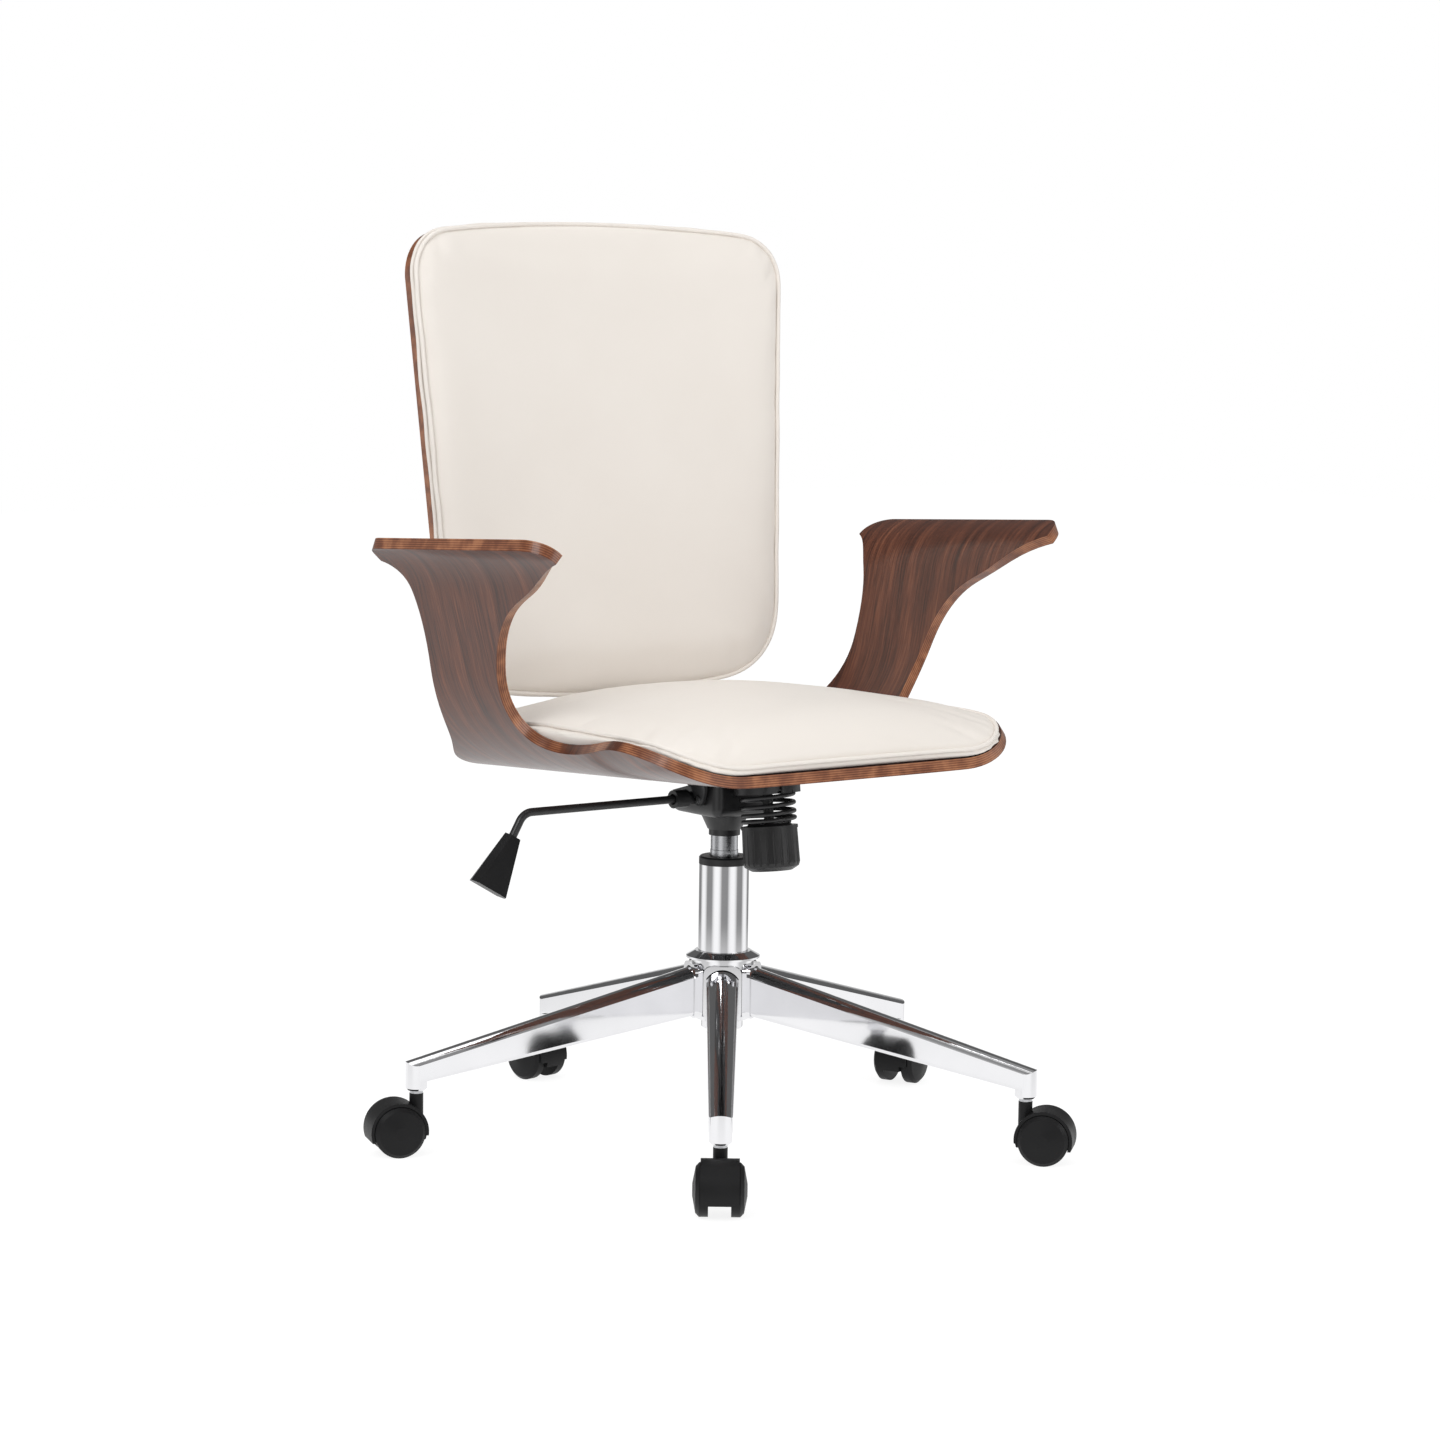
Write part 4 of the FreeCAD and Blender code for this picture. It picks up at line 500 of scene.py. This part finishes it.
def new_object(name, data):
    made = bpy.data.objects.new(name, data)
    bpy.context.scene.collection.objects.link(made)
    return made


def evaluated_mesh(piece):
    """A new mesh with all that the piece's modifiers or curve settings do."""
    bpy.context.view_layer.update()
    graph = bpy.context.evaluated_depsgraph_get()
    return bpy.data.meshes.new_from_object(piece.evaluated_get(graph))


def apply_modifiers(piece):
    mesh = evaluated_mesh(piece)
    piece.modifiers.clear()
    old = piece.data
    piece.data = mesh
    bpy.data.meshes.remove(old)


def places_of(mesh):
    """The places of a mesh's points, one row each."""
    places = numpy.empty(3 * len(mesh.vertices))
    mesh.vertices.foreach_get("co", places)
    return places.reshape(-1, 3)


def normals_of(mesh):
    """The normals at a mesh's points, one row each."""
    normals = numpy.empty(3 * len(mesh.vertices))
    mesh.vertices.foreach_get("normal", normals)
    return normals.reshape(-1, 3)


def move_to(mesh, places):
    mesh.vertices.foreach_set("co", places.ravel())
    mesh.update()


def frame_matrix(origin, lean):
    """The matrix from a leaning frame to the chair's frame."""
    return Matrix.Translation(origin) @ Matrix.Rotation(-lean, 4, "X")


def turned(directions, matrix):
    """Directions in another frame."""
    return directions @ numpy.array(matrix.to_3x3()).T


def in_frame(places, matrix):
    """Places in another frame."""
    return turned(places, matrix) + numpy.array(matrix.translation)


def smooth_shaded(mesh):
    for face in mesh.polygons:
        face.use_smooth = True


# Cushion covers

VOXEL = 0.005
SWELL_FRAMES = 20
SWELL_PRESSURE = 4.0
START_INSET = 0.002
SMOOTH_SHARE = 0.5
PIPING_RADIUS = 0.0022
PIPING_LIFT = 0.3 * PIPING_RADIUS
TUCK_DEPTH = 0.0014
TUCK_REACH = 0.005
EVENING_ROUNDS = 8
CORNER_STEP = 5
NO_LENGTH = 1e-9


def remeshed_copy(name, node):
    """An evenly meshed copy of a solid."""
    piece = new_object(name, NODES[node].data.copy())
    remesh = piece.modifiers.new("Remesh", "REMESH")
    remesh.mode = "VOXEL"
    remesh.voxel_size = VOXEL
    apply_modifiers(piece)
    return piece


def swell(piece, held, cap):
    """Lets the cover swell under pressure, with the held points fixed and the others capped."""
    mesh = piece.data
    free = (~held)[:, None]
    rest = places_of(mesh) - normals_of(mesh) * START_INSET * free
    move_to(mesh, rest)
    group = piece.vertex_groups.new(name="held")
    group.add([int(index) for index in numpy.flatnonzero(held)], 1.0, "REPLACE")
    cloth = piece.modifiers.new("Cloth", "CLOTH")
    cloth.settings.use_pressure = True
    cloth.settings.uniform_pressure_force = SWELL_PRESSURE
    cloth.settings.effector_weights.gravity = 0.0
    cloth.settings.vertex_group_mass = "held"
    cloth.point_cache.frame_end = SWELL_FRAMES
    scene = bpy.context.scene
    for number in range(1, SWELL_FRAMES + 1):
        scene.frame_set(number)
    apply_modifiers(piece)
    scene.frame_set(1)
    piece.vertex_groups.clear()
    moved = places_of(piece.data) - rest
    reach = numpy.linalg.norm(moved, axis=1, keepdims=True)
    share = numpy.minimum(1.0, cap / numpy.maximum(reach, NO_LENGTH))
    move_to(piece.data, rest + moved * share)


def relax(piece, rounds):
    """Evens out the cover."""
    smooth = piece.modifiers.new("Smooth", "SMOOTH")
    smooth.factor = SMOOTH_SHARE
    smooth.iterations = rounds
    apply_modifiers(piece)


def subdivide(piece):
    subdivision = piece.modifiers.new("Subdivision", "SUBSURF")
    subdivision.levels = 1
    subdivision.render_levels = 1
    apply_modifiers(piece)
    smooth_shaded(piece.data)


def distances(places, line):
    """How far each place is from a line of points."""
    tree = kdtree.KDTree(len(line))
    for index, point in enumerate(line):
        tree.insert(point, index)
    tree.balance()
    return numpy.array([tree.find(place)[2] for place in places])


def tuck(piece, seam):
    """Draws the cover in along its seam."""
    mesh = piece.data
    places = places_of(mesh)
    depth = TUCK_DEPTH * numpy.exp(-((distances(places, seam) / TUCK_REACH) ** 2))
    move_to(mesh, places - normals_of(mesh) * depth[:, None])


def corner_turns():
    """The angles through a square corner."""
    return [math.radians(degrees) for degrees in range(0, 91, CORNER_STEP)]


def closed_line(corners):
    """Points about a voxel apart along a closed line through flat corners, one row each."""
    points = []
    for (x, y), (next_x, next_y) in zip(corners, corners[1:] + corners[:1]):
        steps = max(1, round(math.hypot(next_x - x, next_y - y) / VOXEL))
        for step in range(steps):
            share = step / steps
            points.append((x + (next_x - x) * share, y + (next_y - y) * share))
    return numpy.array(points)


def on_cover(piece, line):
    """A seam's line moved on to the cover, lifted by part of the welt's radius and evened out."""
    faces = [tuple(face.vertices) for face in piece.data.polygons]
    tree = bvhtree.BVHTree.FromPolygons(places_of(piece.data).tolist(), faces)
    seam = []
    for point in line:
        found, normal, _, _ = tree.find_nearest(point)
        seam.append(found + normal * PIPING_LIFT)
    seam = numpy.array(seam)
    for _ in range(EVENING_ROUNDS):
        seam = (numpy.roll(seam, 1, 0) + 2.0 * seam + numpy.roll(seam, -1, 0)) / 4.0
    return seam


def piping(name, seam):
    """A round welt along a closed seam."""
    curve = bpy.data.curves.new(name, "CURVE")
    curve.dimensions = "3D"
    curve.bevel_depth = PIPING_RADIUS
    curve.bevel_resolution = 4
    spline = curve.splines.new("POLY")
    spline.points.add(len(seam) - 1)
    for point, place in zip(spline.points, seam):
        point.co = (*place, 1.0)
    spline.use_cyclic_u = True
    path = new_object(name, curve)
    mesh = evaluated_mesh(path)
    bpy.data.objects.remove(path)
    welt = new_object(name, mesh)
    smooth_shaded(mesh)
    dress(welt, LEATHERETTE)
    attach(welt, "seat")


# Seat cushion

SEAT_SWELL = 0.009
SEAT_SMOOTH_ROUNDS = 3

# The cover is held where its normal points down by more than this, a little less far out to the sides
SEAT_HELD_TURN = -0.5
SEAT_HELD_TURN_RISE = 0.1

# The cover is drawn out along the plywood by this share
PAD_SPREAD = 1.028


def over_bend(along, y, inner):
    """Places in the seat's frame from the distance along the bent sheet, Y and the bend's inner radius."""
    angle = numpy.maximum(numpy.abs(along) - SEAT_FLAT, 0.0) / BEND_RADIUS
    x = numpy.minimum(numpy.abs(along), SEAT_FLAT) + inner * numpy.sin(angle)
    z = BEND_RADIUS - inner * numpy.cos(angle)
    return numpy.column_stack((numpy.sign(along) * x, y, z))


def spread_over_seat(places):
    """Draws the cushion's places in the seat's frame out along the plywood toward its rim."""
    across = numpy.maximum(numpy.abs(places[:, 0]) - SEAT_FLAT, 0.0)
    to_axis = BEND_RADIUS - places[:, 2]
    along = numpy.minimum(numpy.abs(places[:, 0]), SEAT_FLAT) + BEND_RADIUS * numpy.arctan2(across, to_axis)
    along = numpy.sign(places[:, 0]) * along
    return over_bend(along * PAD_SPREAD, places[:, 1] * PAD_SPREAD, numpy.hypot(across, to_axis))


def seat_seam():
    """The top of the cushion's side band, as a closed line in the seat's frame."""
    narrow = SEAT_FLAT + PAD_BAND
    wide = PAD_HALF - narrow
    right = []
    for angle in corner_turns():
        y = PAD_FRONT_Y + PAD_FRONT_CORNER * (1 - math.cos(angle))
        right.append((narrow + wide * math.sin(angle), y))
    for angle in reversed(corner_turns()):
        y = PAD_REAR_Y - PAD_REAR_CORNER * (1 - math.cos(angle))
        right.append((narrow + wide * math.sin(angle), y))
    left = [(-along, y) for along, y in reversed(right)]
    along, y = PAD_SPREAD * closed_line(right + left).T
    return over_bend(along, y, BEND_RADIUS - PLY / 2 - SOFT_GAP - PAD_BAND)


def seat_cushion():
    to_chair = frame_matrix(SEAT_ORIGIN, SEAT_PITCH)
    to_seat = to_chair.inverted()
    piece = remeshed_copy("seat_cushion", "seat_pad")
    side = numpy.minimum(1.0, numpy.abs(in_frame(places_of(piece.data), to_seat)[:, 0]) / PAD_HALF)
    upward = turned(normals_of(piece.data), to_seat)[:, 2]
    swell(piece, upward < SEAT_HELD_TURN + SEAT_HELD_TURN_RISE * side, SEAT_SWELL)
    relax(piece, SEAT_SMOOTH_ROUNDS)
    places = spread_over_seat(in_frame(places_of(piece.data), to_seat))
    move_to(piece.data, in_frame(places, to_chair))
    seam = on_cover(piece, in_frame(seat_seam(), to_chair))
    subdivide(piece)
    tuck(piece, seam)
    dress(piece, LEATHERETTE)
    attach(piece, "seat")
    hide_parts("seat_pad")
    piping("seat_piping", seam)


# Back cushion

BACK_SWELL = 0.003
BACK_SMOOTH_ROUNDS = 6
BACK_SEAM_DEPTH = 0.0115
PILLOW_REACH = 0.050
LONG_EDGE_STEPS = 18

# The cover is held where its normal points to the rear by more than this
BACK_HELD_TURN = 0.6


def back_outline():
    """The cushion's outline in X and Z of the back's frame, as a closed line."""
    low_half = BACK_LOW_HALF + BACK_PAD_OVERHANG
    high_half = BACK_HIGH_HALF + BACK_PAD_OVERHANG
    low_corner = BACK_LOW_CORNER + BACK_PAD_OVERHANG
    high_corner = BACK_HIGH_CORNER + BACK_PAD_OVERHANG
    low_z = BACK_BOTTOM_RISE - BACK_PAD_OVERHANG
    high_z = BACK_HEIGHT - BACK_TOP_FALL + BACK_PAD_OVERHANG
    low_side, high_side = low_half - low_corner, high_half - high_corner
    shares = [step / LONG_EDGE_STEPS for step in range(LONG_EDGE_STEPS + 1)]
    right = []
    for share in shares:
        right.append((low_side * share, low_z - BACK_BOTTOM_RISE * (1 - share**2)))
    for angle in corner_turns()[1:]:
        x = low_side + low_corner * math.sin(angle)
        right.append((x, low_z + low_corner * (1 - math.cos(angle))))
    for angle in corner_turns():
        x = high_side + high_corner * math.cos(angle)
        right.append((x, high_z - high_corner * (1 - math.sin(angle))))
    for share in reversed(shares[:-1]):
        right.append((high_side * share, high_z + BACK_TOP_FALL * (1 - share**2)))
    left = [(-x, z) for x, z in reversed(right[1:-1])]
    return closed_line(right + left)


def back_seam(depth):
    """The cushion's outline at a depth in front of the plywood, in the back's frame."""
    x, z = back_outline().T
    radius = BACK_RADIUS - PLY - SOFT_GAP - depth
    return numpy.column_stack((x, numpy.sqrt(radius**2 - x**2) - BACK_RADIUS, z))


def pillow(piece, to_back):
    """Rounds the front panel from its seam on all sides to its full depth in the middle."""
    places = in_frame(places_of(piece.data), to_back)
    radius = numpy.hypot(places[:, 0], places[:, 1] + BACK_RADIUS)
    depth = BACK_RADIUS - PLY - SOFT_GAP - radius
    flat = places * (1.0, 0.0, 1.0)
    outline = numpy.insert(back_outline(), 1, 0.0, axis=1)
    rise = numpy.clip(distances(flat, outline) / PILLOW_REACH, 0.0, 1.0)
    fullness = numpy.sqrt(1.0 - (1.0 - rise) ** 2)
    lowered = numpy.maximum(depth - BACK_SEAM_DEPTH, 0.0) * (1.0 - fullness)
    places[:, 1] = (places[:, 1] + BACK_RADIUS) * (radius + lowered) / radius - BACK_RADIUS
    move_to(piece.data, in_frame(places, to_back.inverted()))


def back_cushion():
    to_chair = frame_matrix(BACK_ORIGIN, BACK_LEAN)
    to_back = to_chair.inverted()
    piece = remeshed_copy("back_cushion", "back_pad")
    pillow(piece, to_back)
    rearward = turned(normals_of(piece.data), to_back)[:, 1]
    swell(piece, rearward > BACK_HELD_TURN, BACK_SWELL)
    relax(piece, BACK_SMOOTH_ROUNDS)
    front = on_cover(piece, in_frame(back_seam(BACK_SEAM_DEPTH), to_chair))
    subdivide(piece)
    tuck(piece, front)
    dress(piece, LEATHERETTE)
    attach(piece, "seat")
    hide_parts("back_pad")
    piping("back_piping_front", front)
    piping("back_piping_rear", on_cover(piece, in_frame(back_seam(PIPING_RADIUS), to_chair)))


# Tilt spring


def tilt_spring():
    """The coil spring, held rigidly on the carrier."""
    coil = new_object("tilt_coil", NODES["tension_spring"].data.copy())
    dress(coil, POWDER)
    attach(coil, "carrier")
    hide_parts("tension_spring")
    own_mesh(coil)


# Studio: white floor and surround, soft lamps, and the camera

WHITE = (1.0, 1.0, 1.0, 1.0)
WHITE_PAPER = (0.9, 0.9, 0.9, 1.0)
UNLIT_PAPER = (0.06, 0.06, 0.06, 1.0)
FLOOR_REACH = 9.0
FLOOR_GLOW = 1.2
FLOOR_GLOW_SHARE = 0.72
FAR_START = 0.5
FAR_END = 1.3
FAR_DARKNESS = 0.85
DARK_ZONES = 5
ZONE_TURN = 0.863
ZONE_WAVE_LOW = -0.9
ZONE_WAVE_HIGH = 0.45
ZONE_DARKNESS = 0.8
BELT_BOTTOM = (0.12, 0.26)
BELT_TOP = (0.78, 0.92)
SURROUND_LIGHT = 0.62
UNLIT_DARKNESS = 0.88

# Each lamp's name, place, size and power
LAMPS = [
    ("key_lamp", (-3.0, -1.2, 2.6), 1.8, 53.0),
    ("fill_lamp", (1.2, -3.4, 1.8), 1.8, 34.0),
    ("top_lamp", (0.2, 0.6, 3.0), 1.6, 13.0),
]
LAMP_TARGET = (0.0, 0.0, 0.5)


def dark_zones(tree, x, y):
    """Unlit parts of the studio in some directions along the floor, as 0 to 1."""
    turn = calc(tree, "ADD", calc(tree, "ARCTAN2", y, x), ZONE_TURN)
    wave = calc(tree, "COSINE", calc(tree, "MULTIPLY", turn, float(DARK_ZONES)))
    return spread(tree, wave, ZONE_WAVE_LOW, ZONE_WAVE_HIGH, 0.0, 1.0)


def studio_white():
    """The floor's white paper. The camera sees it glow, and reflections also see it unlit far off."""
    made, tree = material("studio_white")
    path = add(tree, "ShaderNodeLightPath").outputs
    place = object_place(tree)
    parts = separated(tree, place)
    distance = add(tree, "ShaderNodeVectorMath", {"Vector": place}, operation="LENGTH").outputs["Value"]
    far = spread(tree, distance, FAR_START, FAR_END, 0.0, FAR_DARKNESS)
    dark = calc(tree, "MULTIPLY", far, dark_zones(tree, parts["X"], parts["Y"]))
    unlit = calc(tree, "MULTIPLY", path["Is Glossy Ray"], dark)
    matt = add(tree, "ShaderNodeBsdfDiffuse", {"Color": mix_colour(tree, unlit, WHITE_PAPER, UNLIT_PAPER)})
    glow = add(tree, "ShaderNodeEmission", {"Color": WHITE, "Strength": FLOOR_GLOW})
    reflected = calc(tree, "SUBTRACT", path["Is Glossy Ray"], unlit)
    seen = calc(tree, "MAXIMUM", path["Is Camera Ray"], reflected)
    share = calc(tree, "MULTIPLY", seen, FLOOR_GLOW_SHARE)
    both = add(tree, "ShaderNodeMixShader", {0: share, 1: matt.outputs[0], 2: glow.outputs[0]})
    add(tree, "ShaderNodeOutputMaterial", {"Surface": both.outputs[0]})
    return made


def white_floor():
    """A white floor that keeps a faint shadow."""
    mesh = bpy.data.meshes.new("studio_floor")
    corners = []
    for x, y in ((-1, -1), (1, -1), (1, 1), (-1, 1)):
        corners.append((x * FLOOR_REACH, y * FLOOR_REACH, 0))
    mesh.from_pydata(corners, [], [(0, 1, 2, 3)])
    mesh.materials.append(studio_white())
    new_object("studio_floor", mesh)


def white_world():
    """Plain light all round. The camera sees it white, and reflections also see an unlit belt and zones."""
    world = bpy.data.worlds.new("studio_world")
    bpy.context.scene.world = world
    world.use_nodes = True
    tree = world.node_tree
    tree.nodes.clear()
    path = add(tree, "ShaderNodeLightPath").outputs
    parts = separated(tree, add(tree, "ShaderNodeTexCoord").outputs["Generated"])
    over_bottom = spread(tree, parts["Z"], *BELT_BOTTOM, 0.0, 1.0)
    under_top = spread(tree, parts["Z"], *BELT_TOP, 1.0, 0.0)
    belt = calc(tree, "MULTIPLY", over_bottom, under_top)
    zones = calc(tree, "MULTIPLY", dark_zones(tree, parts["X"], parts["Y"]), ZONE_DARKNESS)
    unlit = calc(tree, "MULTIPLY", calc(tree, "MAXIMUM", belt, zones), path["Is Glossy Ray"])
    plain = calc(tree, "MAXIMUM", path["Is Camera Ray"], path["Is Transmission Ray"])
    seen = calc(tree, "MAXIMUM", plain, path["Is Glossy Ray"])
    lit = spread(tree, seen, 0.0, 1.0, SURROUND_LIGHT, 1.0)
    left_lit = calc(tree, "SUBTRACT", 1.0, calc(tree, "MULTIPLY", unlit, UNLIT_DARKNESS))
    strength = calc(tree, "MULTIPLY", lit, left_lit)
    light = add(tree, "ShaderNodeBackground", {"Color": WHITE, "Strength": strength})
    add(tree, "ShaderNodeOutputWorld", {"Surface": light.outputs[0]})


def soft_lamp(name, place, size, watts):
    light = bpy.data.lights.new(name, "AREA")
    light.shape = "SQUARE"
    light.size = size
    light.energy = watts
    lamp = bpy.data.objects.new(name, light)
    bpy.context.scene.collection.objects.link(lamp)
    lamp.location = place
    lamp.rotation_euler = (Vector(LAMP_TARGET) - Vector(place)).to_track_quat("-Z", "Y").to_euler()


def photo_camera():
    data = bpy.data.cameras.new("photo_camera")
    data.lens = CAMERA_LENS
    data.sensor_width = CAMERA_SENSOR
    camera = bpy.data.objects.new("photo_camera", data)
    bpy.context.scene.collection.objects.link(camera)
    level = math.cos(CAMERA_DOWN)
    forward = Vector(
        (math.sin(CAMERA_HEADING) * level, math.cos(CAMERA_HEADING) * level, -math.sin(CAMERA_DOWN))
    )
    right = Vector((math.cos(CAMERA_HEADING), -math.sin(CAMERA_HEADING), 0))
    up = right.cross(forward)
    rolled_right = right * math.cos(CAMERA_ROLL) + up * math.sin(CAMERA_ROLL)
    rolled_up = up * math.cos(CAMERA_ROLL) - right * math.sin(CAMERA_ROLL)
    turn = Matrix((rolled_right, rolled_up, -forward)).transposed().to_4x4()
    camera.matrix_world = Matrix.Translation(CAMERA_PLACE) @ turn
    bpy.context.scene.camera = camera


dress_solids()
seat_cushion()
back_cushion()
tilt_spring()

white_floor()
white_world()
for lamp_name, lamp_place, lamp_size, lamp_watts in LAMPS:
    soft_lamp(lamp_name, lamp_place, lamp_size, lamp_watts)
photo_camera()
bpy.context.scene.view_settings.view_transform = "Standard"
